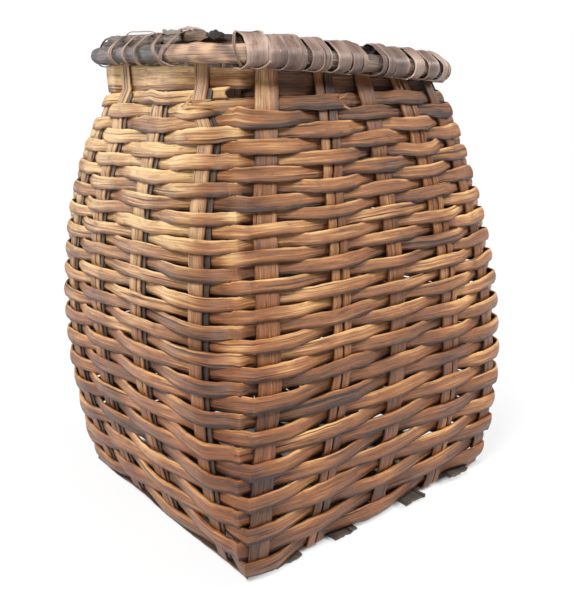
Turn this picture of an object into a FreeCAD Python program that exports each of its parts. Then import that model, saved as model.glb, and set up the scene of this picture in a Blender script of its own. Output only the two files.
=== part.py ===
# Splint-woven creel basket, open at the top: square foot, full belly, narrower rounded-square mouth.
# The front side faces -Y and the left side faces -X: a three-quarter view has the corner at -X, -Y nearest.
# The origin lies on the standing surface, under the middle of the woven base.
import FreeCAD, Part
import math
import os

os.makedirs("parts", exist_ok=True)

# Wall profile: half widths of the square-like section, and the heights at which they hold
belly_half_width = 167.0
mouth_half_width = 121.0
foot_half_width = 142.0
belly_height = 165.0
throat_height = 379.0
# How the wall draws in above and below the belly: 2 would be a parabola
shoulder_curve_share = 2.15
foot_curve_share = 2.05
# Corner sharpness of the section: exponent of the superellipse at the mouth and at the foot
mouth_corner_share = 4.7
foot_corner_share = 16.0
corner_blend_share = 3.5

# Splints
upright_thickness = 1.8
weaver_thickness = 1.5
weave_clearance = 0.5
flat_margin = 1.6
base_flat_margin = 0.5
split_gap = 1.4
foot_bend_top = 5.6
foot_bend_reach = 5.0
corner_gap_limit = 34.0

# Uprights that run front to back: their places across the front as shares of the half width, at the
# mouth, the belly and the foot, and the widths of their strips. The second and the fourth are split.
front_mouth_shares = (-0.755, -0.31, 0.03, 0.36, 0.7)
front_belly_shares = (-0.78, -0.36, 0.01, 0.4, 0.725)
front_foot_shares = (-0.9, -0.535, -0.055, 0.455, 0.88)
first_front_width = 17.5
second_front_left_width = 8.2
second_front_right_width = 8.0
third_front_width = 17.0
fourth_front_left_width = 11.0
fourth_front_right_width = 6.4
fifth_front_width = 16.0
front_strips = (
    (first_front_width,),
    (second_front_left_width, second_front_right_width),
    (third_front_width,),
    (fourth_front_left_width, fourth_front_right_width),
    (fifth_front_width,),
)
# Uprights that run left to right: their places as shares from the front to the back, and strip widths
side_mouth_shares = (-0.77, -0.245, 0.255, 0.61)
side_belly_shares = (-0.74, -0.21, 0.25, 0.6)
side_foot_shares = (-0.75, -0.2, 0.3, 0.64)
first_side_width = 14.0
second_side_front_width = 5.2
second_side_back_width = 11.6
third_side_front_width = 6.0
third_side_back_width = 10.5
fourth_side_width = 15.0
side_strips = (
    (first_side_width,),
    (second_side_front_width, second_side_back_width),
    (third_side_front_width, third_side_back_width),
    (fourth_side_width,),
)

# Weavers, numbered from the rim down
row_count = 32
lowest_row_height = 12.0
highest_row_pitch = 10.25
middle_row_pitch = 10.15
lowest_row_pitch = 16.3
weaver_width_share = 0.86

# Base slats between the front-to-back uprights
slat_width = 27.0
slat_front_overhang = 6.0
slat_back_overhang = 6.0
# How far each slat lies off the middle of its gap, as a share of the gap
slat_shift_shares = (0.0, -0.08, 0.14, 0.05)

# Rim: it stands higher at the left and at the back than at the right
rim_height = 398.0
rim_rise_to_left_share = 0.075
rim_rise_to_back_share = 0.055
hoop_radius = 8.0
hoop_clearance = 0.9
hoop_end_gap_share = 0.012
inner_hoop_width = 22.0
inner_hoop_thickness = 2.4
inner_hoop_lift = 4.5
upright_top_rise = 5.0
rim_clearance = 0.7

# Splints under the rim
band_drop = 10.4
inner_band_width = 20.0
outer_band_width = 14.0
broken_row_width = 8.3
row_gap = 1.2
splint_end_gap = 1.0

# Lashing of flat bark strip
lashing_thickness = 0.8
lashing_width = 9.0
thin_lashing_width = 5.0
least_lashing_gap = 0.4

# Number of straight stretches along a curved piece
wall_stretches = 11
bend_stretches = 3
corner_spread_share = 2.5
hoop_stretches = 32
hoop_sides = 10
gap_samples = 6
# Both edges of a ruled face run the same way
same_direction = 1
flat_tolerance = 0.000001
# Where the ends of the two hoops meet, as shares of one turn from the right side
hoop_end_share = 0.375
inner_hoop_end_share = 0.29


def half_width(height):
    if height >= throat_height:
        return mouth_half_width
    if height >= belly_height:
        rise = (height - belly_height) / (throat_height - belly_height)
        return belly_half_width - (belly_half_width - mouth_half_width) * rise ** shoulder_curve_share
    sink = (belly_height - height) / belly_height
    return belly_half_width - (belly_half_width - foot_half_width) * sink ** foot_curve_share


def corner_power(height):
    sink = max(0.0, 1.0 - height / throat_height)
    return mouth_corner_share + (foot_corner_share - mouth_corner_share) * sink ** corner_blend_share


def wall_point(toward_x, toward_y, height):
    # Point of the wall in a direction from the axis, and the wall's outward normal in plan
    power = corner_power(height)
    size = (abs(toward_x) ** power + abs(toward_y) ** power) ** (1.0 / power)
    half = half_width(height)
    normal_x = math.copysign(abs(toward_x / size) ** (power - 1.0), toward_x)
    normal_y = math.copysign(abs(toward_y / size) ** (power - 1.0), toward_y)
    normal = FreeCAD.Vector(normal_x, normal_y, 0)
    normal.normalize()
    return FreeCAD.Vector(half * toward_x / size, half * toward_y / size, height), normal


def share_at(mouth_share, belly_share, foot_share, height):
    # An upright keeps no even distance from its neighbours: it wanders between mouth, belly and foot
    if height >= belly_height:
        rise = min(1.0, (height - belly_height) / (throat_height - belly_height))
        return belly_share + (mouth_share - belly_share) * rise
    sink = min(1.0, (belly_height - height) / belly_height)
    return belly_share + (foot_share - belly_share) * sink


def total_width(strips):
    return sum(strips) + split_gap * (len(strips) - 1)


def upright_place(side, index, height):
    # Place, outward normal and direction along the wall of one upright at a height.
    # Sides go round anticlockwise seen from above: front, right, back, left.
    if side in ("front", "back"):
        shares = (front_mouth_shares[index], front_belly_shares[index], front_foot_shares[index])
        toward = -1.0 if side == "front" else 1.0
        point, normal = wall_point(share_at(*shares, height), toward, height)
    else:
        shares = (side_mouth_shares[index], side_belly_shares[index], side_foot_shares[index])
        toward = -1.0 if side == "left" else 1.0
        point, normal = wall_point(toward, share_at(*shares, height), height)
    along = FreeCAD.Vector(-normal.y, normal.x, 0)
    return point, normal, along


def rim_level(point):
    return rim_height - rim_rise_to_left_share * point.x + rim_rise_to_back_share * point.y


def write(shape, name):
    shape.exportStep("parts/" + name + ".step")
    print(name, "solids", len(shape.Solids), "faces", len(shape.Faces), "volume", round(shape.Volume))


def polygon(points):
    return Part.makePolygon(list(points) + [points[0]])


def four_sided_face(corners):
    # Flat where the four corners lie in one plane, and otherwise ruled between two of the edges
    across = (corners[1] - corners[0]).cross(corners[2] - corners[0])
    across.normalize()
    if abs(across.dot(corners[3] - corners[0])) < flat_tolerance:
        return Part.Face(polygon(corners))
    first = Part.makePolygon([corners[0], corners[3]])
    second = Part.makePolygon([corners[1], corners[2]])
    return Part.makeRuledSurface(first, second, same_direction).Faces[0]


def ruled_solid(sections):
    # Straight-sided solid through a row of sections, with a flat cap at each end
    faces = []
    for here, after in zip(sections, sections[1:]):
        for number in range(len(here)):
            corners = [here[number - 1], here[number], after[number], after[number - 1]]
            faces.append(four_sided_face(corners))
    faces.append(Part.Face(polygon(sections[0])))
    faces.append(Part.Face(polygon(sections[-1])))
    shell = Part.makeShell(faces)
    shell.sewShape()
    solid = Part.makeSolid(shell)
    if solid.Volume < 0:
        solid.reverse()
    return solid


# All eighteen uprights in the order in which a weaver meets them
front_order = [("front", index, total_width(strips)) for index, strips in enumerate(front_strips)]
right_order = [("right", index, total_width(strips)) for index, strips in enumerate(side_strips)]
back_order = [("back", index, width) for side, index, width in reversed(front_order)]
left_order = [("left", index, width) for side, index, width in reversed(right_order)]
order = front_order + right_order + back_order + left_order
weave_offset = upright_thickness / 2 + weave_clearance + weaver_thickness / 2


def over(row, position):
    # Even rows pass over the first, third, fifth ... upright counted from the near corner
    return (row + position) % 2 == 0


def weave_stops(row, positions):
    # Two stops for each upright, where the strip lies flat over or under it, and one on a wide corner
    stops = []
    for position in positions:
        side, index, width = order[position % len(order)]
        reach = width / 2 + flat_margin
        offset = weave_offset if over(row, position) else -weave_offset
        stops.append((side, index, -reach, offset))
        stops.append((side, index, reach, offset))
    return stops


def stop_point(stop, height):
    side, index, reach, offset = stop
    if side == "corner":
        return wall_point(reach, offset, height)
    point, normal, along = upright_place(side, index, height)
    return point + along * reach + normal * offset, normal


def add_corners(stops, height, closed):
    # Where two neighbouring uprights stand far apart round a corner, the strip follows the wall's corner
    result = []
    last = len(stops) - 1
    for number, stop in enumerate(stops):
        result.append(stop)
        if number % 2 == 1 and (closed or number < last):
            point, normal = stop_point(stop, height)
            after, after_normal = stop_point(stops[(number + 1) % len(stops)], height)
            if stop[0] != stops[(number + 1) % len(stops)][0] and (after - point).Length > corner_gap_limit:
                result.append(("corner", 0, math.copysign(1.0, point.x), math.copysign(1.0, point.y)))
    return result


def strip_sections(stops, low_of, high_of, thickness):
    # Upright rectangle at each stop, from the strip's lower to its upper edge. Where a wide splint passes
    # inside an upright at the throat, it stays straight instead of following the wall out below it.
    sections = []
    for stop in stops:
        middle, normal = stop_point(stop, throat_height)
        low = stop_point(stop, low_of(middle))[0]
        high = stop_point(stop, high_of(middle))[0]
        if high.z > throat_height and stop[-1] == -weave_offset:
            low = FreeCAD.Vector(high.x, high.y, low.z)
        sideways = normal * (thickness / 2)
        sections.append((low - sideways, low + sideways, high + sideways, high - sideways))
    return sections


def row_pitch(row):
    # A smooth curve through the pitches of the highest, the middle and the lowest row
    down_share = (row - 1) / (row_count - 1)
    highest = highest_row_pitch * (2 * down_share - 1) * (down_share - 1)
    middle = middle_row_pitch * 4 * down_share * (1 - down_share)
    lowest = lowest_row_pitch * down_share * (2 * down_share - 1)
    return highest + middle + lowest


def row_height(row):
    return lowest_row_height + sum(row_pitch(number + 1) for number in range(row, row_count))


# The weavers, closed rings from the rim down to the foot
for row in range(1, row_count + 1):
    middle_height = row_height(row)
    low_height = middle_height - row_pitch(row) * weaver_width_share / 2
    high_height = middle_height + row_pitch(row) * weaver_width_share / 2
    stops = add_corners(weave_stops(row, range(len(order))), middle_height, True)
    loops = []
    for sideways in (weaver_thickness / 2, -weaver_thickness / 2):
        edges = []
        for height in (low_height, high_height):
            places = [stop_point(stop, height) for stop in stops]
            edges.append(polygon([point + normal * sideways for point, normal in places]))
        loops.append(Part.makeLoft(edges, True, True))
    write(loops[0].cut(loops[1]), "weaver_row_" + str(row).zfill(2))

# The wide splint under the rim, which stands highest at the back left, and the row below it, which is
# broken off before the near corner. Both run round the left and the back side only, over and under the
# same uprights. The wide splint goes on inside the corner upright and ends behind it.
high_positions = range(len(front_order) + len(right_order), len(order))
broken_stops = add_corners(weave_stops(0, high_positions), throat_height, False)


def band_top(point):
    return rim_level(point) - band_drop


def broken_low(point):
    return row_height(1) + row_pitch(1) * weaver_width_share / 2 + row_gap


def broken_high(point):
    return broken_low(point) + broken_row_width


def outer_band_low(point):
    return max(band_top(point) - outer_band_width, broken_high(point) + row_gap)


broken_sections = strip_sections(broken_stops, broken_low, broken_high, weaver_thickness)
write(ruled_solid(broken_sections), "broken_row_back_left")
corner_reach = order[0][2] / 2 + flat_margin
behind_corner = [("front", 0, -corner_reach, -weave_offset), ("front", 0, -splint_end_gap / 2, -weave_offset)]
band_stops = add_corners(weave_stops(0, high_positions) + behind_corner, throat_height, False)
band_sections = strip_sections(band_stops, outer_band_low, band_top, weaver_thickness)
write(ruled_solid(band_sections), "rim_splint_back_left")


# The dark splint inside the front and right uprights, cut to a taper where the rim comes down. It begins
# behind the corner upright, where the other one ends.
def inner_band_low(point):
    return max(band_top(point) - inner_band_width, broken_low(point))


inner_stops = []
for side, index, width in front_order + right_order:
    reach = width / 2 + flat_margin
    inner_stops.append((side, index, -reach, -weave_offset))
    inner_stops.append((side, index, reach, -weave_offset))
inner_stops[0] = ("front", 0, splint_end_gap / 2, -weave_offset)
inner_stops = add_corners(inner_stops, throat_height, False)
inner_sections = strip_sections(inner_stops, inner_band_low, band_top, weaver_thickness)
write(ruled_solid(inner_sections), "rim_splint_front_right")


# Base: the uprights cross under the basket in a plain weave at two levels, with slats between those that
# run front to back
base_low = upright_thickness / 2
base_high = base_low + upright_thickness + weave_clearance
down = FreeCAD.Vector(0, 0, -1)
front_places = [upright_place("front", index, foot_bend_top)[0] for index in range(len(front_strips))]
side_places = [upright_place("right", index, foot_bend_top)[0] for index in range(len(side_strips))]
lengthwise = []
for index, strips in enumerate(front_strips):
    if index > 0:
        gap_start = front_places[index - 1].x + total_width(front_strips[index - 1]) / 2
        gap_end = front_places[index].x - total_width(strips) / 2
        shift = (gap_end - gap_start) * slat_shift_shares[index - 1]
        lengthwise.append(((gap_start + gap_end) / 2 + shift, slat_width))
    lengthwise.append((front_places[index].x, total_width(strips)))
crosswise = [(side_places[index].y, total_width(strips)) for index, strips in enumerate(side_strips)]


def base_stops(number, crossed, runs_lengthwise):
    # Places along a base strip, each with the level at which the strip lies there
    stops = []
    for other, (place, width) in enumerate(crossed):
        upper = ((number + other) % 2 == 0) == runs_lengthwise
        level = base_high if upper else base_low
        stops.append((place - width / 2 - base_flat_margin, level))
        stops.append((place + width / 2 + base_flat_margin, level))
    return stops


def flat_section(centre, across, outward, width, thickness):
    side = across * (width / 2)
    face = outward * (thickness / 2)
    return (centre - side - face, centre + side - face, centre + side + face, centre - side + face)


def wall_sections(side, index, sideways, width):
    # Sections of a strip on one wall, from its top end down to the foot bend
    top_point, normal, along = upright_place(side, index, throat_height)
    heights = [rim_level(top_point) + upright_top_rise]
    for number in range(wall_stretches):
        heights.append(throat_height + (foot_bend_top - throat_height) * number / (wall_stretches - 1))
    sections = []
    for height in heights:
        point, normal, along = upright_place(side, index, height)
        across = along if side in ("front", "right") else along * -1
        sections.append((point + across * sideways, across, normal))
    return sections


def bend_sections(foot, across, normal, straight, inward, level):
    # Quarter turn from the wall into the base
    sections = []
    for number in range(1, bend_stretches + 1):
        angle = math.pi / 2 * number / bend_stretches
        centre = foot + inward * foot_bend_reach * (1 - math.cos(angle))
        centre.z = foot_bend_top - (foot_bend_top - level) * math.sin(angle)
        turned = across * math.cos(angle) + straight * math.sin(angle)
        turned.normalize()
        outward = normal * math.cos(angle) + down * math.sin(angle)
        sections.append((centre, turned, outward))
    return sections


def bent_strip(sides, index, sideways, width, straight, forward, stops):
    first = wall_sections(sides[0], index, sideways, width)
    last = wall_sections(sides[1], index, sideways, width)
    foot, across, normal = first[-1]
    far_foot, far_across, far_normal = last[-1]
    rows = first + bend_sections(foot, across, normal, straight, forward, stops[0][1])
    base_line = foot + forward * -forward.dot(foot)
    for place, level in stops:
        centre = base_line + forward * place
        centre.z = level
        rows.append((centre, straight, down))
    far_bend = bend_sections(far_foot, far_across, far_normal, straight, forward * -1, stops[-1][1])
    rows += reversed(far_bend)
    rows += reversed(last)
    sections = []
    for centre, across, outward in rows:
        sections.append(flat_section(centre, across, outward, width, upright_thickness))
    return ruled_solid(sections)


def strip_middles(strips):
    # Where the middle of each strip of a split upright lies from the upright's own middle
    middles = []
    edge = -total_width(strips) / 2
    for width in strips:
        middles.append(edge + width / 2)
        edge += width + split_gap
    return middles


to_right = FreeCAD.Vector(1, 0, 0)
to_back = FreeCAD.Vector(0, 1, 0)
letters = ("a", "b")
for index, strips in enumerate(front_strips):
    stops = base_stops(2 * index, crosswise, True)
    for part, (sideways, width) in enumerate(zip(strip_middles(strips), strips)):
        shape = bent_strip(("front", "back"), index, sideways, width, to_right, to_back, stops)
        suffix = letters[part] if len(strips) > 1 else ""
        write(shape, "upright_front_to_back_" + str(index + 1) + suffix)
for index, strips in enumerate(side_strips):
    stops = base_stops(index, lengthwise, False)
    for part, (sideways, width) in enumerate(zip(strip_middles(strips), strips)):
        shape = bent_strip(("left", "right"), index, sideways, width, to_back, to_right, stops)
        suffix = letters[part] if len(strips) > 1 else ""
        write(shape, "upright_left_to_right_" + str(index + 1) + suffix)

for number in range(len(front_strips) - 1):
    middle, width = lengthwise[2 * number + 1]
    reach = wall_point(middle, -foot_half_width, foot_bend_top)[0].y
    stops = base_stops(2 * number + 1, crosswise, True)
    front_end = (reach - slat_front_overhang, stops[0][1])
    back_end = (slat_back_overhang - reach, stops[-1][1])
    sections = []
    for place, level in [front_end] + stops + [back_end]:
        centre = FreeCAD.Vector(middle, place, level)
        sections.append(flat_section(centre, to_right, down, width, upright_thickness))
    write(ruled_solid(sections), "base_slat_" + str(number + 1))


# Rim: a round stick outside the uprights and a flat hoop inside them
hoop_offset = upright_thickness / 2 + hoop_clearance + hoop_radius
inner_hoop_offset = upright_thickness / 2 + rim_clearance + inner_hoop_thickness / 2
up = FreeCAD.Vector(0, 0, 1)


def rim_place(turn):
    # Place on the wall at the rim and its outward normal, for a share of one turn from the right side
    angle = 2 * math.pi * turn
    toward_x = math.copysign(abs(math.cos(angle)) ** (1 / corner_spread_share), math.cos(angle))
    toward_y = math.copysign(abs(math.sin(angle)) ** (1 / corner_spread_share), math.sin(angle))
    point, normal = wall_point(toward_x, toward_y, throat_height)
    return FreeCAD.Vector(point.x, point.y, rim_level(point)), normal


def rim_stations(start):
    stations = []
    for number in range(hoop_stretches + 1):
        share = number / hoop_stretches
        stations.append(rim_place(start + hoop_end_gap_share / 2 + (1 - hoop_end_gap_share) * share))
    return stations


sections = []
for point, normal in rim_stations(hoop_end_share):
    ring = []
    for number in range(hoop_sides):
        angle = 2 * math.pi * number / hoop_sides
        spoke = normal * math.cos(angle) + up * math.sin(angle)
        ring.append(point + normal * hoop_offset + spoke * hoop_radius)
    sections.append(ring)
write(ruled_solid(sections), "rim_hoop_outer")

sections = []
for point, normal in rim_stations(inner_hoop_end_share):
    centre = point - normal * inner_hoop_offset + up * inner_hoop_lift
    sections.append(flat_section(centre, up, normal, inner_hoop_width, inner_hoop_thickness))
write(ruled_solid(sections), "rim_hoop_inner")


# Lashing: one flat strip wound round both hoops. It crosses below them between two uprights and
# moves on to the next crossing as it passes over them.
wrap_radius = hoop_radius + rim_clearance + lashing_thickness / 2
wrap_corner = wrap_radius / math.cos(math.pi / 8)
wrap_inner = inner_hoop_offset + inner_hoop_thickness / 2 + rim_clearance + lashing_thickness / 2
wrap_top = inner_hoop_lift + inner_hoop_width / 2 + rim_clearance + lashing_thickness / 2
wrap_top_outer = inner_hoop_offset - inner_hoop_thickness / 2 - rim_clearance - lashing_thickness / 2
wrap_contour = []
for step_angle in (-3, -1, 1, 3):
    angle = math.pi / 8 * step_angle
    outward = hoop_offset + wrap_corner * math.cos(angle)
    wrap_contour.append((outward, wrap_corner * math.sin(angle)))
wrap_contour.append((-wrap_top_outer, wrap_top))
wrap_contour.append((-wrap_inner, wrap_top))
wrap_contour.append((-wrap_inner, -wrap_radius))
# Share of the way to the next crossing that the strip has moved at each corner of the contour
wrap_shift_shares = (0.0, 0.15, 0.35, 0.5, 0.8, 0.85, 1.0)


def contour_mitre(number):
    # Outward direction that keeps the strip's thickness at a corner of the contour
    count = len(wrap_contour)
    before_x, before_z = wrap_contour[number - 1]
    here_x, here_z = wrap_contour[number]
    after_x, after_z = wrap_contour[(number + 1) % count]
    first = FreeCAD.Vector(here_z - before_z, 0, before_x - here_x)
    second = FreeCAD.Vector(after_z - here_z, 0, here_x - after_x)
    first.normalize()
    second.normalize()
    middle = first + second
    return middle / (1 + first.dot(second))


def crossing_points(gaps):
    # Points between neighbouring uprights at which the strip crosses below the hoops
    points = []
    for position, shares in gaps:
        side, index, width = order[position % len(order)]
        start, normal, along = upright_place(side, index, throat_height)
        start = start + along * (width / 2)
        side, index, width = order[(position + 1) % len(order)]
        end, normal, along = upright_place(side, index, throat_height)
        end = end - along * (width / 2)
        for share in shares:
            points.append(start + (end - start) * share)
    return points


def lashing_sections(gaps, width):
    crossings = crossing_points(gaps)
    stops = [(crossings[0], len(wrap_contour) - 1)]
    for here, after in zip(crossings, crossings[1:]):
        for corner, shift in enumerate(wrap_shift_shares):
            stops.append((here + (after - here) * shift, corner))
    sections = []
    for place, corner in stops:
        point, normal = wall_point(place.x, place.y, throat_height)
        along = FreeCAD.Vector(-normal.y, normal.x, 0)
        outward, height = wrap_contour[corner]
        centre = point + normal * outward
        centre.z = rim_level(point) + height
        mitre = contour_mitre(corner)
        face = normal * mitre.x + up * mitre.z
        sections.append(flat_section(centre, along, face, width, lashing_thickness))
    return sections


def edge_points(sections, corner):
    # Points along one edge of the strip, close enough to measure between turns
    points = []
    for here, after in zip(sections, sections[1:]):
        for number in range(gap_samples):
            points.append(here[corner] + (after[corner] - here[corner]) * (number / gap_samples))
    return points


def least_gap(sections):
    leading = edge_points(sections, 1)
    trailing = edge_points(sections, 0)
    per_turn = gap_samples * len(wrap_contour)
    least = (leading[0] - trailing[-1]).Length
    for number, point in enumerate(leading):
        for other in trailing[number + per_turn // 2:number + per_turn * 3 // 2]:
            least = min(least, (point - other).Length)
    return least


pair_shares = (0.25, 0.75)
single_share = (0.5,)
front_gaps = [(-1, pair_shares[-1:])]
front_gaps += [(position, pair_shares) for position in range(8)]
front_gaps += [(8, pair_shares[:1])]
left_gaps = [(8, pair_shares[-1:])]
left_gaps += [(position, pair_shares if position == 13 else single_share) for position in range(9, 17)]
left_gaps += [(17, pair_shares[:1])]
for gaps, width, name in (
    (front_gaps, lashing_width, "rim_lashing_front_right"),
    (left_gaps, thin_lashing_width, "rim_lashing_left_back"),
):
    sections = lashing_sections(gaps, width)
    gap = least_gap(sections)
    print(name, "turns", len(crossing_points(gaps)) - 1)
    print("least gap to itself, mm", round(gap, 2), gap > least_lashing_gap)
    write(ruled_solid(sections), name)
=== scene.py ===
# %% Load the construction model
import bisect
import math
import random
from collections import namedtuple

import bpy
from mathutils import Matrix, Vector, noise


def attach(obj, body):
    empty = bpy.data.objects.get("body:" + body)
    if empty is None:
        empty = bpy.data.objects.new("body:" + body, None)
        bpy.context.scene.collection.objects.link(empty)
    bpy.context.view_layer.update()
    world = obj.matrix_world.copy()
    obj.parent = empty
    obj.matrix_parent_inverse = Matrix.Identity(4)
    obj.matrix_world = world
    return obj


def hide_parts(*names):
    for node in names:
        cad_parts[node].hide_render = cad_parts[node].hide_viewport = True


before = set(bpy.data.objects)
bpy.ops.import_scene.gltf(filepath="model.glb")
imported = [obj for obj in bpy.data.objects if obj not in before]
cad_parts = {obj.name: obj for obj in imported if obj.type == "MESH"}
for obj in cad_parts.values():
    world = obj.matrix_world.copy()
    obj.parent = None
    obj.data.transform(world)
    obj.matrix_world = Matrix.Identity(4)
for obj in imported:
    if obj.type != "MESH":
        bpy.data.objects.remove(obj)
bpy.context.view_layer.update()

# %% [markdown]
# # An old splint creel
# The real thing is woven from flat strips of split ash. Eighteen uprights stand in a ring: each one is half of a
# long strip that passes under the base. Weavers run round them, over one and under the next. The mouth is held
# open by a bent stick outside and a flat hoop inside, bound together with strips of bark.
# The lesson builds it the way a weaver does: first the shape that the strips follow, then the uprights, the
# slats, the weavers and the rim. Every strip starts as a flat grid that is laid along its route, because a real
# splint is flat too, and its curves come only from what it passes over.

# %% [markdown]
# ## The shape of the wall
# In plan the basket is a square with rounded corners, which are softer at the mouth than at the foot. A
# superellipse gives such a section with one number for the corners. The half width is largest at the belly and
# falls off along two near-parabolas, which is what springy strips do when they are pulled in at both ends. The
# mouth leans a little to the right and to the front, and the near corner of the foot was drawn out.

# %% Sizes of the wall, the uprights and the rows
MM = 0.001
BELLY, MOUTH, FOOT = 167 * MM, 121 * MM, 144 * MM
BELLY_Z, THROAT_Z, BEND_Z = 165 * MM, 379 * MM, 5.6 * MM
SHOULDER_CURVE, FOOT_CURVE = 2.15, 2.05
# the superellipse's power at the mouth, what the foot adds to it, and how fast that fades upwards
SOFT_CORNER, SHARP_CORNER, CORNER_FADE = 4.3, 17.4, 3.5
LEAN_RIGHT, LEAN_FRONT, CORNER_OUT = 4 * MM, 3 * MM, 4 * MM
# places of the uprights as shares of the half width, at the mouth, the belly and the foot
FRONT_SHARES = ((-0.755, -0.78, -0.94), (-0.31, -0.36, -0.535), (0.03, 0.01, -0.055), (0.36, 0.4, 0.455),
                (0.7, 0.725, 0.88))
SIDE_SHARES = ((-0.77, -0.74, -0.75), (-0.245, -0.21, -0.2), (0.255, 0.25, 0.3), (0.61, 0.6, 0.64))
# shares by which the left uprights were pushed towards the back under the rim
LEFT_PUSH = (0.13, 0.05, 0.1, 0.03)
# widths in mm of the strips of each upright, and of the gap where one is split in two
FRONT_STRIPS = ((17.5,), (8.2, 8.0), (17.0,), (11.0, 6.4), (16.0,))
SIDE_STRIPS = ((14.0,), (5.2, 11.6), (6.0, 10.5), (15.0,))
SPLIT = 1.4
# the rim's height over the middle, and its rise per metre to the left and to the back
RIM_HEIGHT, RISE_LEFT, RISE_BACK = 0.398, 0.075, 0.055
# number of rows, height of the lowest one, and the pitch in mm at the top, half way down and at the foot
ROWS, LOWEST_ROW, PITCHES = 32, 12 * MM, (10.25, 10.15, 16.3)
UP, DOWN = Vector((0, 0, 1)), Vector((0, 0, -1))
print("half widths at belly, mouth and foot:", BELLY, MOUTH, FOOT)


# %% The wall as a function
def smooth(value):
    value = max(0.0, min(1.0, value))
    return value * value * (3 - 2 * value)


def ramp(value, start, end):
    """0 at start and before it, 1 at end and past it, smooth between them. End may be the lower one."""
    return smooth((value - start) / (end - start))


def bell(value, middle, width):
    return math.exp(-((value - middle) / width) ** 2)


def half_width(z):
    if z >= THROAT_Z:
        return MOUTH
    if z >= BELLY_Z:
        return BELLY - (BELLY - MOUTH) * ((z - BELLY_Z) / (THROAT_Z - BELLY_Z)) ** SHOULDER_CURVE
    return BELLY - (BELLY - FOOT) * ((BELLY_Z - z) / BELLY_Z) ** FOOT_CURVE


def wall(x, y, z):
    """Point of the wall in the direction of x, y, and its outward normal."""
    power = SOFT_CORNER + SHARP_CORNER * max(0.0, 1 - z / THROAT_Z) ** CORNER_FADE
    size = (abs(x) ** power + abs(y) ** power) ** (1 / power)
    half = half_width(z)
    normal = Vector((math.copysign(abs(x / size) ** (power - 1), x),
                     math.copysign(abs(y / size) ** (power - 1), y), 0)).normalized()
    lean = ramp(z, 0.28, 0.4)
    corner = CORNER_OUT * ramp(z, 0.06, 0) * ramp(-x / size, 0.7, 1) * ramp(-y / size, 0.7, 1)
    return Vector((half * x / size + LEAN_RIGHT * lean - corner,
                   half * y / size - LEAN_FRONT * lean - corner, z)), normal


print("near corner at the belly:", wall(-1, -1, BELLY_Z)[0])


# %% Where the uprights and the rows are
def share_at(shares, z):
    mouth, belly, foot = shares
    if z >= BELLY_Z:
        return belly + (mouth - belly) * min(1.0, (z - BELLY_Z) / (THROAT_Z - BELLY_Z))
    return belly + (foot - belly) * min(1.0, (BELLY_Z - z) / BELLY_Z)


def upright_place(side, index, z):
    """Middle of an upright at a height, the wall's normal there, and the direction along the wall."""
    if side in ("front", "back"):
        point, normal = wall(share_at(FRONT_SHARES[index], z), -1 if side == "front" else 1, z)
    else:
        share = share_at(SIDE_SHARES[index], z)
        if side == "left":
            share += LEFT_PUSH[index] * ramp(z, 0.338, 0.368)
        point, normal = wall(1 if side == "right" else -1, share, z)
    return point, normal, Vector((-normal.y, normal.x, 0))


def total(strips):
    return (sum(strips) + SPLIT * (len(strips) - 1)) * MM


def rim_z(point):
    return RIM_HEIGHT - RISE_LEFT * point.x + RISE_BACK * point.y


def row_pitch(row):
    """A parabola through the three measured pitches."""
    down = (row - 1) / (ROWS - 1)
    top, middle, foot = PITCHES
    return (top * (2 * down - 1) * (down - 1) + middle * 4 * down * (1 - down) + foot * down * (2 * down - 1)) * MM


row_heights = [LOWEST_ROW + sum(row_pitch(number + 1) for number in range(row, ROWS)) for row in range(ROWS + 1)]
# the uprights in the order in which a weaver passes them, starting at the near corner: side, index, width
order = []
for side, strips_of, way in (("front", FRONT_STRIPS, 1), ("right", SIDE_STRIPS, 1),
                             ("back", FRONT_STRIPS, -1), ("left", SIDE_STRIPS, -1)):
    order += [(side, index, total(strips)) for index, strips in enumerate(strips_of)][::way]
ROUND = len(order)
# the last upright before the near corner, and before the corners at both ends of the picture
NEAR_CORNER, FAR_CORNERS = 17, (4, 13)
print("uprights:", ROUND, "first row at", round(row_heights[1], 4), "m")

# %% [markdown]
# ## Laying a strip
# A splint could be swept along a curve object, but then its edges would be perfectly even. Here a grid
# primitive gets one row of points for each station of the route, and the points are moved there, slightly cupped
# and ragged. Solidify gives the thickness and a small Bevel softens the cut edges. The grid's own UV map stays
# with the strip, so the grain follows it however it bends. A second attribute, lane, runs from -1 at one edge to
# 1 at the other, for wear along the edges and for a painted highlight along the upper edge and painted shade
# along the lower one. Round rods are built from the same grid, rolled up.

# %% Helpers for modelling
WELD = 0.01 * MM
GRAIN_SHIFT = (0.37, 0.11)


def wander(seed, length, step):
    """Smooth random value between about -1 and 1 at a place along a strip."""
    return noise.noise(Vector((length / step, seed * 7.31, seed * 1.7)))


def deselect():
    if bpy.context.mode != "OBJECT":
        bpy.ops.object.mode_set(mode="OBJECT")
    bpy.ops.object.select_all(action="DESELECT")


def edit_mesh(*steps):
    """Each step is an edit-mode operator and its options. It acts on the whole active mesh."""
    bpy.ops.object.mode_set(mode="EDIT")
    bpy.ops.mesh.select_all(action="SELECT")
    for step, options in steps:
        step(**options)
    bpy.ops.object.mode_set(mode="OBJECT")


def grid_piece(name, along, cross, round_rod=False):
    """A flat grid, and for each of its points the station it belongs to and its lane."""
    deselect()
    bpy.ops.mesh.primitive_grid_add(x_subdivisions=along, y_subdivisions=cross, size=2, calc_uvs=True)
    piece = bpy.context.object
    piece.name = name
    piece.data.name = name
    piece.data.uv_layers.active.name = "grain"
    places = [(round((vertex.co.x + 1) / 2 * along), vertex.co.y) for vertex in piece.data.vertices]
    lanes = piece.data.attributes.new("lane", "FLOAT", "POINT")
    lanes.data.foreach_set("value", [0.0 if round_rod else lane for column, lane in places])
    return piece, places


def along_lengths(stations):
    lengths = [0.0]
    for here, after in zip(stations, stations[1:]):
        lengths.append(lengths[-1] + (after[0] - here[0]).length)
    return lengths


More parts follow.
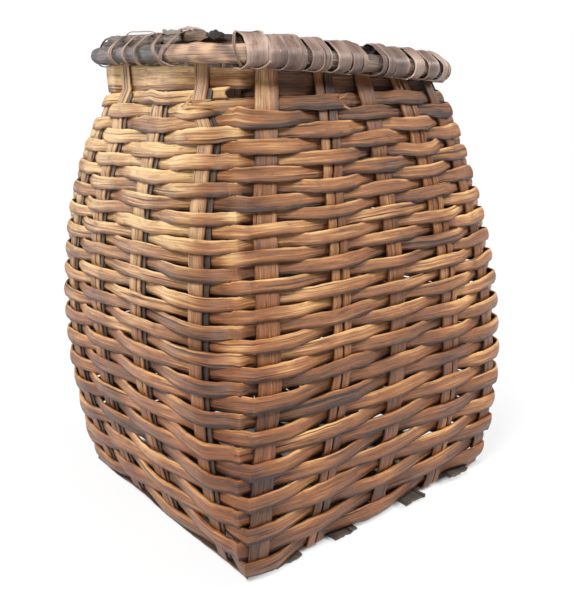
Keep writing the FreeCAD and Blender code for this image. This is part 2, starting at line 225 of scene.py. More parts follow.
def lay_grain(piece, places, lengths, width, seed):
    """UV in metres along and across the piece. Each seed gets its own stretch of grain."""
    layer = piece.data.uv_layers.active
    for loop in piece.data.loops:
        column, lane = places[loop.vertex_index]
        layer.uv[loop.index].vector = (lengths[column] + seed * GRAIN_SHIFT[0],
                                       (lane + 1) / 2 * width + seed * GRAIN_SHIFT[1])


def tangent_at(points, number, closed=False):
    if closed:
        return (points[(number + 1) % len(points)] - points[number - 1]).normalized()
    return (points[min(number + 1, len(points) - 1)] - points[max(number - 1, 0)]).normalized()


def facing(vector, way):
    """The vector or its opposite, whichever points that way."""
    return -vector if vector.dot(way) < 0 else vector


print("modelling helpers ready")

# %% Strip builder
SEAM_FADE = 20 * MM
FINE_WAVE, SLOW_WAVE = 9 * MM, 50 * MM
SOFT_EDGE = 0.3
TIP_SHARE = 0.2


def lay_strip(name, stations, width, thickness, seed, closed=False, cup=0.35 * MM, ragged=0.05, cross=4,
              taper=0.0, torn=0.0):
    """stations: (centre, across, outward) or (centre, across, outward, width). Returns the finished strip."""
    along = len(stations) - 1
    piece, places = grid_piece(name, along, cross)
    lengths = along_lengths(stations)
    chance = random.Random(seed)
    tears = [[chance.uniform(-1, 1) * torn for lane in range(cross + 1)] for end in (0, 1)]
    for vertex, (column, lane) in zip(piece.data.vertices, places):
        centre, across, outward = stations[column][:3]
        wide = stations[column][3] if len(stations[column]) > 3 else width
        place = 0.0 if closed and column == along else lengths[column]
        from_end = min(place, lengths[-1] - place)
        # a closed strip is even at its seam, so that its two ends meet
        fade = smooth(from_end / SEAM_FADE) if closed else 1.0
        wide *= 1 + fade * ragged * (wander(seed + 3 * (lane > 0), place, FINE_WAVE)
                                     + wander(seed, place, SLOW_WAVE))
        if taper and not closed:
            wide *= min(1.0, TIP_SHARE + from_end / taper)
        vertex.co = centre + across * (lane * wide / 2) + outward * (-cup * lane * lane)
        if torn and column in (0, along):
            way = (stations[1][0] - stations[0][0]) if column == 0 else (stations[-2][0] - stations[-1][0])
            vertex.co += way.normalized() * tears[column > 0][round((lane + 1) / 2 * cross)]
    lay_grain(piece, places, lengths, width, seed)
    if closed:
        edit_mesh((bpy.ops.mesh.remove_doubles, {"threshold": WELD}))
    solid = piece.modifiers.new("thickness", "SOLIDIFY")
    solid.thickness = thickness
    solid.offset = 0
    soft = piece.modifiers.new("soft edge", "BEVEL")
    soft.width = thickness * SOFT_EDGE
    soft.segments = 2
    soft.limit_method = "ANGLE"
    soft.angle_limit = math.radians(50)
    for modifier in ("thickness", "soft edge"):
        bpy.ops.object.modifier_apply(modifier=modifier)
    edit_mesh((bpy.ops.mesh.normals_make_consistent, {"inside": False}))
    bpy.ops.object.shade_smooth_by_angle(angle=math.radians(45))
    return piece


print("strip builder ready")

# %% Rod builder
ROD_GRAIN_WIDTH = 50 * MM


def lay_rod(name, stations, radius_at, seed, sides=16):
    """A round rod through stations (centre, across, outward), closed at both ends."""
    piece, places = grid_piece(name, len(stations) - 1, sides, round_rod=True)
    lengths = along_lengths(stations)
    for vertex, (column, lane) in zip(piece.data.vertices, places):
        centre, across, outward = stations[column][:3]
        angle = 2 * math.pi * ((lane + 1) / 2 % 1.0)
        spoke = across * math.sin(angle) + outward * math.cos(angle)
        vertex.co = centre + spoke * radius_at(lengths[column], angle)
    lay_grain(piece, places, lengths, ROD_GRAIN_WIDTH, seed)
    edit_mesh((bpy.ops.mesh.remove_doubles, {"threshold": WELD}),
              (bpy.ops.mesh.fill_holes, {"sides": 0}),
              (bpy.ops.mesh.normals_make_consistent, {"inside": False}))
    bpy.ops.object.shade_smooth_by_angle(angle=math.radians(50))
    return piece


print("rod builder ready")

# %% [markdown]
# ## Tone of the wood over the basket, with painted light and shade
# The left side is lighter, partly bleached and partly painted light from the window at the left. The folds of the
# near corner carry a painted highlight over their worn varnish, the near corner is darker and redder, partly its
# wood and partly painted shade, the front under the rim is darkened with painted shade, and the foot is darker
# towards the bottom. A texture could be painted for that, but a value on each point is simpler and follows every
# strip: red holds the lightness, green the redness, and blue marks the inner side, which gets painted shade.

# %% Zones and tone
# how much each zone lightens and reddens the wood: the lighter left side is partly painted light from the window at
# the left, the darker front under the rim is painted shade, the near corner is partly painted shade, and the pale
# folds carry a painted highlight
ZONES = {"left side, bleached and lit by the window": (0.22, -0.45), "painted shade under the front rim": (-0.16, 0.0), "near corner": (-0.2, 0.4),
         "worn folds with painted highlight": (0.24, -0.35), "low left side": (-0.07, 0.12), "low front": (-0.11, 0.0),
         "upper half": (0.0, -0.24)}
ZONE_WEIGHTS = tuple(ZONES.values())
MIDDLE_TONE = 0.5
FOLD_TURN, FOLD_WIDTH = -0.9, 2.7


def fold_near(x, y, z):
    """1 where the weavers fold round the near corner, beside its upright, and 0 elsewhere."""
    if x >= 0 or y >= 0:
        return 0.0
    turn = math.degrees(math.atan2(-x, -y)) - 45
    return bell(turn, FOLD_TURN, FOLD_WIDTH) * ramp(z, 0.08, 0.16)


def zones_at(x, y, z, outward, seed):
    """How strongly each of the zones shows, in the order of ZONES."""
    left, front = -outward.x, -outward.y
    near = ramp(min(-x, -y) / max(-x, -y, MM), 0.66, 0.86) * ramp(z, 0.4, 0.3) * ramp(z, 0.03, 0.23)
    patchy = 0.6 + 1.5 * noise.noise(Vector((x * 30, z * 110, seed)))
    # in the order of ZONES: the left side (partly painted light from the window), painted shade under the front rim,
    # the near corner (partly painted shade), the painted highlight on the worn folds, the low left side, the low
    # front and the upper half
    return (smooth(1.4 * left) * ramp(z, 0.1, 0.38), smooth(1.3 * front) * ramp(z, 0.26, 0.36), near,
            fold_near(x, y, z) * patchy, smooth(1.4 * left) * ramp(z, 0.27, 0.15),
            smooth(1.4 * front) * ramp(z, 0.22, 0.12) * (1 - near), ramp(z, 0.1, 0.3))


def paint(piece, lightness, redness, seed, shade=None):
    """Point attribute 'tone'. A shade function may change the tone that the zones give."""
    attribute = piece.data.attributes.new("tone", "FLOAT_COLOR", "POINT")
    values = []
    for vertex in piece.data.vertices:
        x, y, z = vertex.co
        outward = DOWN if z < 8 * MM else wall(x, y, min(z, THROAT_Z))[1]
        # blue is 1 on faces turned into the basket or up under the base; the material darkens them as painted shade
        inner = 1.0 if vertex.normal.dot(outward) < -0.25 else 0.0
        light = MIDDLE_TONE + lightness + 0.2 * noise.noise(Vector((x * 18, y * 18, z * 55 + seed)))
        red = MIDDLE_TONE + redness + 0.1 * noise.noise(Vector((x * 9, z * 9, seed)))
        for strength, (lighter, redder) in zip(zones_at(x, y, z, outward, seed), ZONE_WEIGHTS):
            light += strength * lighter
            red += strength * redder
        if shade:
            light, red, inner = shade(vertex.co, vertex.normal, light, red, inner)
        values += [light, red, inner, 1.0]
    attribute.data.foreach_set("color", values)


def speckled(light, red, strength=0.0, scale=60):
    """A shade for a piece that weathered on its own: an even tone with some noise."""
    return lambda point, normal, *tone: (light + strength * noise.noise(point * scale), red, 0.0)


def finish_piece(piece, material, slot, *nodes):
    piece.data.materials.clear()
    piece.data.materials.append(material)
    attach(piece, "root")
    if nodes:
        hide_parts(*nodes)


print("zones:", ", ".join(ZONES))

# %% [markdown]
# ## Old splint wood
# The strips have darkened to a red brown under old varnish. The colour comes from fine grain that runs with the
# strip, dark cracks along it, slow blotches and stains, added to the tone of each point. The upper edges get a
# painted highlight and the lower ones painted shade. The inner side has lost its varnish, so it is rough, and it
# is darkened with painted shade.


# %% Shader helpers
def srgb(*colour):
    return tuple((c / 255 / 12.92 if c / 255 <= 0.04045 else ((c / 255 + 0.055) / 1.055) ** 2.4)
                 for c in colour) + (1.0,)


def add(tree, kind, **inputs):
    node = tree.nodes.new(kind)
    for key, value in inputs.items():
        node.inputs[key.replace("_", " ")].default_value = value
    return node


def maths(tree, operation, *values):
    node = tree.nodes.new("ShaderNodeMath")
    node.operation = operation
    for number, value in enumerate(values):
        if isinstance(value, (int, float)):
            node.inputs[number].default_value = value
        else:
            tree.links.new(value, node.inputs[number])
    return node.outputs[0]


def grain_noise(tree, vector, scale, detail, roughness, distortion=0.0):
    stretch = add(tree, "ShaderNodeMapping", Scale=scale)
    tree.links.new(vector, stretch.inputs["Vector"])
    node = add(tree, "ShaderNodeTexNoise", Scale=1.0, Detail=detail, Roughness=roughness, Distortion=distortion)
    tree.links.new(stretch.outputs["Vector"], node.inputs["Vector"])
    return node.outputs["Fac"]


def spread(tree, value, low, high, to_low=0.0, to_high=1.0):
    node = add(tree, "ShaderNodeMapRange", From_Min=low, From_Max=high, To_Min=to_low, To_Max=to_high)
    tree.links.new(value, node.inputs["Value"])
    return node.outputs["Result"]


def multiply_colour(tree, colour, tint, factor):
    node = tree.nodes.new("ShaderNodeMix")
    node.data_type = "RGBA"
    node.blend_type = "MULTIPLY"
    # a Mix node has the sockets of all its data types: 6 and 7 are the two colours, output 2 the result
    node.inputs[7].default_value = tint
    tree.links.new(factor, node.inputs[0])
    tree.links.new(colour, node.inputs[6])
    return node.outputs[2]


print("shader helpers ready")

# %% Splint material
# scale along and across the strip, per metre, then detail, roughness and distortion
FINE, STREAK = ((26, 760, 1), 6.0, 0.66), ((9, 260, 1), 3.0, 0.5, 0.3)
BLOTCH, CRACK, STAIN = ((18, 70, 1), 3.0, 0.55), ((7, 420, 1), 2.0, 0.4, 0.6), ((70, 190, 1), 4.0, 0.6)
RED_TINT, CRACK_TINT, STAIN_TINT = (1.0, 0.7, 0.4, 1), (0.22, 0.16, 0.12, 1), (0.42, 0.3, 0.24, 1)
BLOTCHES = 0.7
GRAIN_DEPTH = 0.8 * MM
GLOSS, INNER_ROUGHER = 0.6, 0.45


def splint_material(name, dark, middle, light, rough=0.36, bump=0.9, inner=0.22, worn=-0.12,
                    grain=0.42, streaks=0.5, top_edge_highlight=0.0, low_edge_shade=0.0):
    material = bpy.data.materials.new(name)
    material.use_nodes = True
    tree = material.node_tree
    tree.nodes.clear()
    out = tree.nodes.new("ShaderNodeOutputMaterial")
    shader = tree.nodes.new("ShaderNodeBsdfPrincipled")
    tree.links.new(shader.outputs["BSDF"], out.inputs["Surface"])
    uv = tree.nodes.new("ShaderNodeUVMap")
    uv.uv_map = "grain"
    tone, lane = tree.nodes.new("ShaderNodeAttribute"), tree.nodes.new("ShaderNodeAttribute")
    tone.attribute_name, lane.attribute_name = "tone", "lane"
    parts = tree.nodes.new("ShaderNodeSeparateColor")
    tree.links.new(tone.outputs["Color"], parts.inputs["Color"])
    inner_side = parts.outputs["Blue"]
    fine, streak, blotch, crack, stain = (grain_noise(tree, uv.outputs["UV"], *values)
                                          for values in (FINE, STREAK, BLOTCH, CRACK, STAIN))
    fine = spread(tree, fine, 0.3, 0.7)
    crack = spread(tree, crack, 0.64, 0.69)
    stain = spread(tree, stain, 0.56, 0.72, 0.0, 0.75)
    edge = spread(tree, maths(tree, "ABSOLUTE", lane.outputs["Fac"]), 0.72, 1.0)
    # grain, streaks, blotches and tone add up to one value that runs from dark to light wood
    level = parts.outputs["Red"]
    for pattern, strength in ((fine, grain), (streak, streaks), (blotch, BLOTCHES), (edge, worn)):
        level = maths(tree, "MULTIPLY_ADD", pattern, strength, level)
    # a painted highlight along the upper edge and painted shade along the lower one
    level = maths(tree, "ADD", spread(tree, lane.outputs["Fac"], 0.5, 0.95, 0.0, top_edge_highlight), level)
    level = maths(tree, "ADD", spread(tree, lane.outputs["Fac"], -0.95, -0.4, low_edge_shade, 0.0), level)
    middle_level = (grain + streaks + BLOTCHES) / 2 + MIDDLE_TONE
    level = spread(tree, level, middle_level - 0.42, middle_level + 0.46)
    ramp_node = tree.nodes.new("ShaderNodeValToRGB")
    stops = ramp_node.color_ramp.elements
    stops[0].color, stops[1].color = dark, light
    stops.new(0.5).color = middle
    tree.links.new(level, ramp_node.inputs["Fac"])
    colour = ramp_node.outputs["Color"]
    # the inner side is darkened by the inner factor: painted shade inside the basket
    inner_tint = (inner, inner * 0.95, inner * 0.9, 1)
    for tint, factor in ((RED_TINT, parts.outputs["Green"]), (CRACK_TINT, crack), (STAIN_TINT, stain),
                         (inner_tint, inner_side)):
        colour = multiply_colour(tree, colour, tint, factor)
    tree.links.new(colour, shader.inputs["Base Color"])
    varnish = spread(tree, fine, 0.0, 1.0, rough + 0.12, rough - 0.08)
    tree.links.new(maths(tree, "MULTIPLY_ADD", inner_side, INNER_ROUGHER, varnish), shader.inputs["Roughness"])
    shader.inputs["Specular IOR Level"].default_value = GLOSS
    height = maths(tree, "MULTIPLY_ADD", streak, 1.6, fine)
    height = maths(tree, "MULTIPLY_ADD", crack, -0.9, height)
    relief = add(tree, "ShaderNodeBump", Strength=bump, Distance=GRAIN_DEPTH)
    tree.links.new(height, relief.inputs["Height"])
    tree.links.new(relief.outputs["Normal"], shader.inputs["Normal"])
    return material


print("splint material ready")

# %% The finishes
weaver_wood = splint_material("weaver wood", srgb(54, 31, 18), srgb(153, 101, 57), srgb(244, 202, 140),
                              worn=0.0, top_edge_highlight=0.26, low_edge_shade=-0.4)
upright_wood = splint_material("upright wood", srgb(50, 30, 19), srgb(144, 95, 57), srgb(226, 184, 132))
slat_wood = splint_material("slat wood", srgb(38, 33, 30), srgb(84, 74, 66), srgb(140, 130, 118), rough=0.65)
bark = splint_material("bark strip", srgb(58, 47, 43), srgb(124, 104, 96), srgb(200, 178, 165), rough=0.42,
                       bump=0.4, inner=0.6, worn=0.2, grain=0.16, streaks=0.24)
dark_rim = splint_material("dark rim splint", srgb(34, 28, 25), srgb(88, 72, 62), srgb(168, 142, 120),
                           rough=0.55, inner=0.5)
stick_bark = splint_material("rim stick", srgb(30, 30, 33), srgb(112, 96, 88), srgb(226, 194, 168), rough=0.38,
                             inner=0.8)
print("materials:", len(bpy.data.materials))

# %% [markdown]
# ## Uprights
# Each upright comes up one side, goes under the base and up the other side. Along the wall it is nearly
# straight, pushed in and out a little by the rows that pass it, and it turns under the foot in a tight bend.
# Under the base it is woven with the others, at two levels. One strip with a long route keeps that continuity,
# which separate wall and base pieces would lose at the bend.

# %% Route along the wall and round the bend
SPLINT_THICK = 1.9 * MM
WALL_STEPS, BEND_STEPS, BASE_STEPS = 130, 5, 60
BEND_RADIUS = 5 * MM
TOP_RISE = 5 * MM
WOVEN_TOP = 0.366
SPRING, WAVER = 0.5 * MM, 0.8 * MM


def wall_route(side, index, sideways, seed):
    """Frames of one upright from its top end down to the bend: centre, across, outward."""
    top = rim_z(upright_place(side, index, THROAT_Z)[0]) + TOP_RISE
    sign = 1 if side in ("front", "right") else -1
    position = [upright[:2] for upright in order].index((side, index))
    frames = []
    for number in range(WALL_STEPS + 1):
        z = top + (BEND_Z - top) * number / WALL_STEPS
        point, normal, along = upright_place(side, index, z)
        push = 0.0
        if z < WOVEN_TOP:
            row = min(range(1, ROWS + 1), key=lambda r: abs(row_heights[r] - z))
            push = (-SPRING if (row + position) % 2 == 0 else SPRING) * ramp(z, 0.006, 0.016)
        drift = wander(seed, z, 0.06) * WAVER * ramp(z, 0.006, 0.026)
        frames.append((point + along * (sign * sideways + drift) + normal * push, along * sign, normal))
    return frames


def bend(foot, across, normal, straight, inward, level):
    frames = []
    for number in range(1, BEND_STEPS + 1):
        angle = math.pi / 2 * number / BEND_STEPS
        centre = foot + inward * BEND_RADIUS * (1 - math.cos(angle))
        centre.z = BEND_Z - (BEND_Z - level) * math.sin(angle)
        turned = (across * math.cos(angle) + straight * math.sin(angle)).normalized()
        frames.append((centre, turned, (normal * math.cos(angle) + DOWN * math.sin(angle)).normalized()))
    return frames


print("frames along one wall:", len(wall_route("front", 0, 0.0, 1)))

# %% Weave of the base
BASE_LOW, BASE_HIGH = 0.9 * MM, 3.2 * MM
SLAT_WIDTH, SLAT_SHIFTS = 27 * MM, (0.0, -0.08, 0.14, 0.05)
LEVEL_MARGIN = 0.5 * MM
# middle and width of all strips under the base; slats lie between the uprights that run front to back
feet = [upright_place("front", index, BEND_Z)[0].x for index in range(len(FRONT_STRIPS))]
lengthwise = []
for index, strips in enumerate(FRONT_STRIPS):
    if index:
        start = feet[index - 1] + total(FRONT_STRIPS[index - 1]) / 2
        end = feet[index] - total(strips) / 2
        lengthwise.append(((start + end) / 2 + (end - start) * SLAT_SHIFTS[index - 1], SLAT_WIDTH))
    lengthwise.append((feet[index], total(strips)))
crosswise = [(upright_place("right", index, BEND_Z)[0].y, total(strips)) for index, strips in enumerate(SIDE_STRIPS)]


def base_stops(number, crossed, runs_lengthwise):
    """Places and heights at both edges of each strip that is crossed, in turn above and below it."""
    stops = []
    for other, (place, width) in enumerate(crossed):
        upper = ((number + other) % 2 == 0) == runs_lengthwise
        for way in (-1, 1):
            stops.append((place + way * (width / 2 + LEVEL_MARGIN), BASE_HIGH if upper else BASE_LOW))
    return stops


def base_level(stops, place):
    for (a, low), (b, high) in zip(stops, stops[1:]):
        if place <= a:
            return low
        if place <= b:
            return low + (high - low) * ramp(place, a, b)
    return stops[-1][1]


def base_run(line, forward, straight, start, end, stops, count=BASE_STEPS):
    frames = []
    for number in range(count + 1):
        place = start + (end - start) * number / count
        centre = line + forward * place
        centre.z = base_level(stops, place)
        frames.append((centre, straight, DOWN))
    return frames


print("strips under the base:", len(lengthwise), "lengthwise and", len(crosswise), "crosswise")


# %% Lay the uprights
def strip_middles(strips):
    """Sideways place and width of each strip of an upright."""
    edge = -total(strips) / 2
    for width in strips:
        yield edge + width * MM / 2, width * MM
        edge += (width + SPLIT) * MM


FAR_WALL_SEED = 40


def bent_upright(name, sides, index, sideways, width, straight, forward, stops, seed):
    first = wall_route(sides[0], index, sideways, seed)
    last = wall_route(sides[1], index, sideways, seed + FAR_WALL_SEED)
    near = bend(*first[-1], straight, forward, stops[0][1])
    far = bend(*last[-1], straight, -forward, stops[-1][1])
    line = first[-1][0] - forward * forward.dot(first[-1][0])
    run = base_run(line, forward, straight, forward.dot(near[-1][0]), forward.dot(far[-1][0]), stops)
    frames = first + near + run[1:-1] + list(reversed(far)) + list(reversed(last))
    return lay_strip(name, frames, width, SPLINT_THICK, seed, cup=0.2 * MM, ragged=0.06, torn=1.5 * MM)


FIRST_TOP = Vector((-0.0925, -0.1135))


def upright_shade(point, normal, light, red, inner):
    """The uprights of the left side are lighter, partly bleached and partly painted light from the window at the
    left. The top of the one at the near corner is lighter too.
    """
    lit_and_bleached = ramp(-point.x, 0.1, 0.13) * ramp(point.z, 0.06, 0.26)
    corner = ramp((point.xy - FIRST_TOP).length, 0.024, 0.012) * ramp(point.z, 0.31, 0.36)
    return light + 0.14 * lit_and_bleached + 0.26 * corner, red - 0.2 * lit_and_bleached - 0.1 * corner, inner


X, Y = Vector((1, 0, 0)), Vector((0, 1, 0))
uprights = []
for family, strips_of, sides, straight, forward, crossed in (
        ("front_to_back", FRONT_STRIPS, ("front", "back"), X, Y, crosswise),
        ("left_to_right", SIDE_STRIPS, ("left", "right"), Y, X, lengthwise)):
    runs_lengthwise = family == "front_to_back"
    for index, strips in enumerate(strips_of):
        stops = base_stops(2 * index if runs_lengthwise else index, crossed, runs_lengthwise)
        for part, (sideways, width) in enumerate(strip_middles(strips)):
            seed = len(uprights) + 1
            node = f"upright_{family}_{index + 1}" + ("ab"[part] if len(strips) > 1 else "")
            piece = bent_upright("wood_" + node, sides, index, sideways, width, straight, forward, stops, seed)
            paint(piece, random.Random(seed).uniform(-0.08, 0.08), 0.06, seed, upright_shade)
            finish_piece(piece, upright_wood, "upright_splint", node)
            uprights.append(piece)
print("upright strips:", len(uprights), "faces in the first:", len(uprights[0].data.polygons))

# %% [markdown]
# ## Base slats
# Four broad slats fill the gaps between the uprights under the base. They are cut from greyer, rougher wood and
# their ends stick out beyond the wall, broken rather than sawn. They lie in the same plain weave as the uprights.

# %% Lay the base slats
SLAT_SEED, SLAT_STEPS = 80, 90
# in mm: how far each slat sticks out at the front, and how far that end is bent up
SLAT_OVER, SLAT_RAISE = (4.5, 5.5, 10.0, 8.0), (1.5, 0.5, 2.5, 6.0)
SLAT_BACK_OVER = 6 * MM


def slat_shade(point, normal, light, red, inner):
    """Greyer than the uprights; where it sticks out past the wall, neither face gets the painted shade of the inner
    side.
    """
    return light, red - 0.2, inner if abs(point.y) < 0.138 else 0.0


slats = []
for number, (over, raised) in enumerate(zip(SLAT_OVER, SLAT_RAISE)):
    middle, width = lengthwise[2 * number + 1]
    reach = wall(middle, -FOOT, BEND_Z)[0].y
    stops = base_stops(2 * number + 1, crosswise, True)
    frames = [(centre + UP * (raised * MM * ramp(-centre.y, 0.09, 0.14)), across, outward)
              for centre, across, outward in base_run(X * middle, Y, X, reach - over * MM, SLAT_BACK_OVER - reach,
                                                      stops, SLAT_STEPS)]
    piece = lay_strip(f"wood_base_slat_{number + 1}", frames, width, SPLINT_THICK, SLAT_SEED + number,
                      cup=0.3 * MM, ragged=0.07, torn=1.4 * MM, cross=8)
    paint(piece, -0.05, -0.1, SLAT_SEED + number, slat_shade)
    finish_piece(piece, slat_wood, "base_slat", f"base_slat_{number + 1}")
    slats.append(piece)
print("slats:", len(slats))

# %% [markdown]
# ## Weavers
# A weaver is one long flat strip that goes round the basket, outside one upright and inside the next. It lies
# almost flat against each upright and crosses the wall between them in a slanting curve, so it stands off the
# wall at every crossing and leaves dark gaps. The curve is built from stretches that leave and reach the
# uprights along the wall, with shorter handles low down, where the folds at the corners are sharper. Where two
# rows swap sides between the same two uprights the strips are a little narrower, so they can pass each other.

# %% Knots of a row
SWING = 3.1 * MM
# outside and inside an upright: how far past its edges the strip stays flat, and how far it bows out or in
REACH = {1: 0.2 * MM, -1: 1.0 * MM}
BOW = {1: 0.5 * MM, -1: -0.2 * MM}
Knot = namedtuple("Knot", "point along outward side position")


def weave_knots(row, z, positions, seed):
    """Two knots at each upright, one at each edge. Side is 1 outside the upright and -1 inside."""
    chance = random.Random(seed * 7)
    knots = []
    for position in positions:
        side, index, width = order[position % ROUND]
        sign = 1 if (row + position) % 2 == 0 else -1
        point, normal, along = upright_place(side, index, z)
        offset = sign * SWING + (chance.uniform(-0.35, 0.7) * MM if sign > 0 else 0)
        reach = width / 2 + REACH[sign]
        for way in (-1, 1):
            knots.append(Knot(point + along * (way * reach) + normal * offset, along, normal, sign,
                              position % ROUND))
    return knots


print("knots in a row:", len(weave_knots(1, row_heights[1], range(ROUND), 51)))

# %% Line through the knots
FLAT_STEPS, LEAST_STEPS, STEP = 5, 7, 2.4 * MM
CRACK_TOP, FAR_FOLD_TOP = 0.35, 0.36
# bulges at the folds, for strips that leave the corner outside (1) or inside (-1): height, middle, width
NEAR_BULGE = {1: (3.4 * MM, 0.72, 0.09), -1: (1.2 * MM, 0.94, 0.1)}
FAR_BULGE = {1: (3.6 * MM, 0.4, 0.2), -1: (1.2 * MM, 0.75, 0.2)}


def cubic(start, start_way, end, end_way, handle, t):
    """Point of a cubic curve that leaves start and reaches end along the two directions."""
    return (start * (2 * t ** 3 - 3 * t ** 2 + 1) + start_way * ((t ** 3 - 2 * t ** 2 + t) * handle)
            + end * (-2 * t ** 3 + 3 * t ** 2) + end_way * ((t ** 3 - t ** 2) * handle))


def fold_bulge(here, after, z, t):
    """How far the strip stands off the curve where it folds round a corner."""
    between = here.outward.lerp(after.outward, 0.5).normalized()
    if here.position == NEAR_CORNER and z < CRACK_TOP:
        # the strip has cracked and bulged where it folds round the near corner
        height, middle, width = NEAR_BULGE[here.side]
        return (between if here.side > 0 else here.outward) * (height * bell(t, middle, width))
    if here.position in FAR_CORNERS and z < FAR_FOLD_TOP:
        # at the far corners the folds stand out in steps
        height, middle, width = FAR_BULGE[here.side]
        return between * (height * bell(t, middle, width) * ramp(z, 0.05, 0.15))
    return Vector((0, 0, 0))


def weave_line(knots, z, closed):
    """Points of the route, each with how far it is swung out (1) or in (-1), and the wall's normal."""
    tight = 0.75 + 0.5 * ramp(z, 0.15, 0.35)
    tight_at_corner = 0.5 + 0.5 * ramp(z, 0.12, 0.32)
    line = []
    for number, (here, after) in enumerate(zip(knots, knots[1:] + knots[:1] if closed else knots[1:])):
        gap = (after.point - here.point).length
        if number % 2 == 0:
            for step in range(FLAT_STEPS):
                t = step / FLAT_STEPS
                bow = here.outward * BOW[here.side]
                line.append((here.point.lerp(after.point, t) + bow * math.sin(math.pi * t), here.side, here.outward))
            continue
        same_side = order[here.position][0] == order[after.position][0]
        handle = gap * (tight if same_side else tight_at_corner)
        count = max(LEAST_STEPS, round(gap / STEP))
        for step in range(count):
            t = step / count
            point = cubic(here.point, here.along, after.point, after.along, handle, t) + fold_bulge(here, after, z, t)
            line.append((point, here.side + (after.side - here.side) * smooth(t),
                         here.outward.lerp(after.outward, t).normalized()))
    if not closed:
        line.append((knots[-1].point, knots[-1].side, knots[-1].outward))
    return line


print("points in a row:", len(weave_line(weave_knots(1, row_heights[1], range(ROUND), 51), row_heights[1], True)))

# %% Stations of a weaver
# the second row was opened up and widened where it folds round the near corner
OPENED_ROW, OPENED_AT = 2, Vector((-0.112, -0.1))
OPENED_RISE, FOLD_RISE = 2 * MM, 0.9 * MM
SLACK_TILT, RANDOM_TILT, TILT_SEED, FOLD_SEED = -0.05, 0.22, 9, 70
UNSEEN_FROM, UNSEEN_WIDER = 0.1, 1.1
# rows that pass each other are as wide as this share of their pitch, and each row bobs up and down by BOB
PINCHED, BOB, OPENED_WIDER = 1.01, 1.5 * MM, 0.42


def row_shift(point, z):
    """The rows are not quite level: neighbouring rows rise and sink together."""
    # the foot was drawn up a little at the right end of the front
    drawn = 7.5 * MM * ramp(point.x, -0.02, 0.14) * smooth(-point.y / 0.13) * ramp(z, 0.11, 0.01)
    waves = noise.noise(Vector((point.x * 14, point.y * 14, z * 16)))
    return ramp(z, 0.02, 0.07) * 2.6 * MM * waves + drawn


def chance_wave(seed, number, count):
    """Random value between about -1 and 1 that closes on itself after one round."""
    angle = 2 * math.pi * number / count
    return 1.6 * noise.noise(Vector((3.1 * math.cos(angle), 3.1 * math.sin(angle), seed * 2.3)))


def weaver_stations(row, z, seed, full_width, positions, closed=True, tail=0.0):
    knots = weave_knots(row, z, positions, seed)
    if tail:
        knots.append(knots[-1]._replace(point=knots[-1].point + knots[-1].along * tail))
    line = weave_line(knots, z, closed)
    count = len(line)
    pinched = min(full_width, row_pitch(max(row, 1)) * PINCHED)
    slope = (half_width(z + 4 * MM) - half_width(z - 4 * MM)) / (8 * MM)
    lifted = []
    for number, (point, out, normal) in enumerate(line):
        bob = chance_wave(seed, number, count) * BOB * max(0.0, out) ** 2 * ramp(z, 0.01, 0.04)
        height = row_shift(point, z) + bob
        lifted.append(point + UP * height + normal * (slope * height))
    stations = []
    for number, (point, out, normal) in enumerate(line):
        tangent = tangent_at(lifted, number, closed)
        outward = facing(tangent.cross((UP + normal * slope).normalized()).normalized(), normal)
        across = facing(outward.cross(tangent).normalized(), UP)
        at_end = number in (0, count - 1) and not closed
        wave = chance_wave(seed + TILT_SEED, number, count)
        tilt = 0.0 if at_end else wave * RANDOM_TILT * out * out + SLACK_TILT
        turned = (across * math.cos(tilt) + outward * math.sin(tilt)).normalized()
        faced = (outward * math.cos(tilt) - across * math.sin(tilt)).normalized()
        wide = pinched + (full_width - pinched) * out * out
        if max(point.x, point.y) > UNSEEN_FROM:
            wide *= UNSEEN_WIDER
        opened = ramp((point.xy - OPENED_AT).length, 0.054, 0.009) if row == OPENED_ROW else 0.0
        if out > 0:
            wave = chance_wave(row + FOLD_SEED, number, count)
            opened += 0.65 * fold_near(point.x, point.y, z) * (0.6 + 0.4 * wave)
        rise = (OPENED_RISE if row == OPENED_ROW else FOLD_RISE) * opened
        stations.append((lifted[number] + UP * rise, turned, faced, wide * (1 + OPENED_WIDER * opened)))
    if closed:
        stations.append(stations[0])
    return stations


print("stations of row 1:", len(weaver_stations(1, row_heights[1], 51, 10 * MM, range(ROUND))))

# %% Lay the weavers
WEAVER_SEED, WEAVER_TONE_SEED, WEAVER_THICK = 50, 100, 2.3 * MM
# widths in mm that were measured at the near corner; the other rows nearly fill their pitch
WIDE = {0: 8.3, 1: 11.0, 2: 13.2, 3: 10.5, 4: 12.0, 6: 10.6, 8: 9.8, 10: 8.8, 12: 9.2, 14: 8.4, 16: 8.2, 18: 9.4,
        20: 10.4, 22: 11.6, 24: 11.0, 26: 12.2, 28: 11.6, 30: 13.2, 32: 13.0}
weavers = []
for row in range(1, ROWS + 1):
    width = WIDE.get(row, row_pitch(row) / MM * 0.99) * MM
    full = min(width * 1.08, row_pitch(row) * 1.2)
    # every row starts inside an upright of the back, where its seam is hidden
    first = 11 if row % 2 == 0 else 12
    seed = WEAVER_SEED + row
    stations = weaver_stations(row, row_heights[row], seed, full, range(first, first + ROUND))
    piece = lay_strip(f"wood_weaver_row_{row:02d}", stations, width, WEAVER_THICK, seed, closed=True,
                      cup=1.4 * MM, ragged=0.1)
    chance = random.Random(WEAVER_TONE_SEED + row)
    paint(piece, chance.uniform(-0.11, 0.09), chance.uniform(-0.04, 0.08), seed)
    finish_piece(piece, weaver_wood, "weaver_splint", f"weaver_row_{row:02d}")
    weavers.append(piece)
print("weavers:", len(weavers), "faces in one:", len(weavers[0].data.polygons))

# %% [markdown]
# ## Splinters and dark fillers
# The first row has split where it bends over the last upright of the left side, and beside the second upright of
# the front its end is frayed. Beside each upright of the left and right side runs a thin dark splint, which was
# pushed in later to tighten the weave; its darkness is partly its own and partly painted shade beside the upright.
# All are short or narrow strips from the same builder.

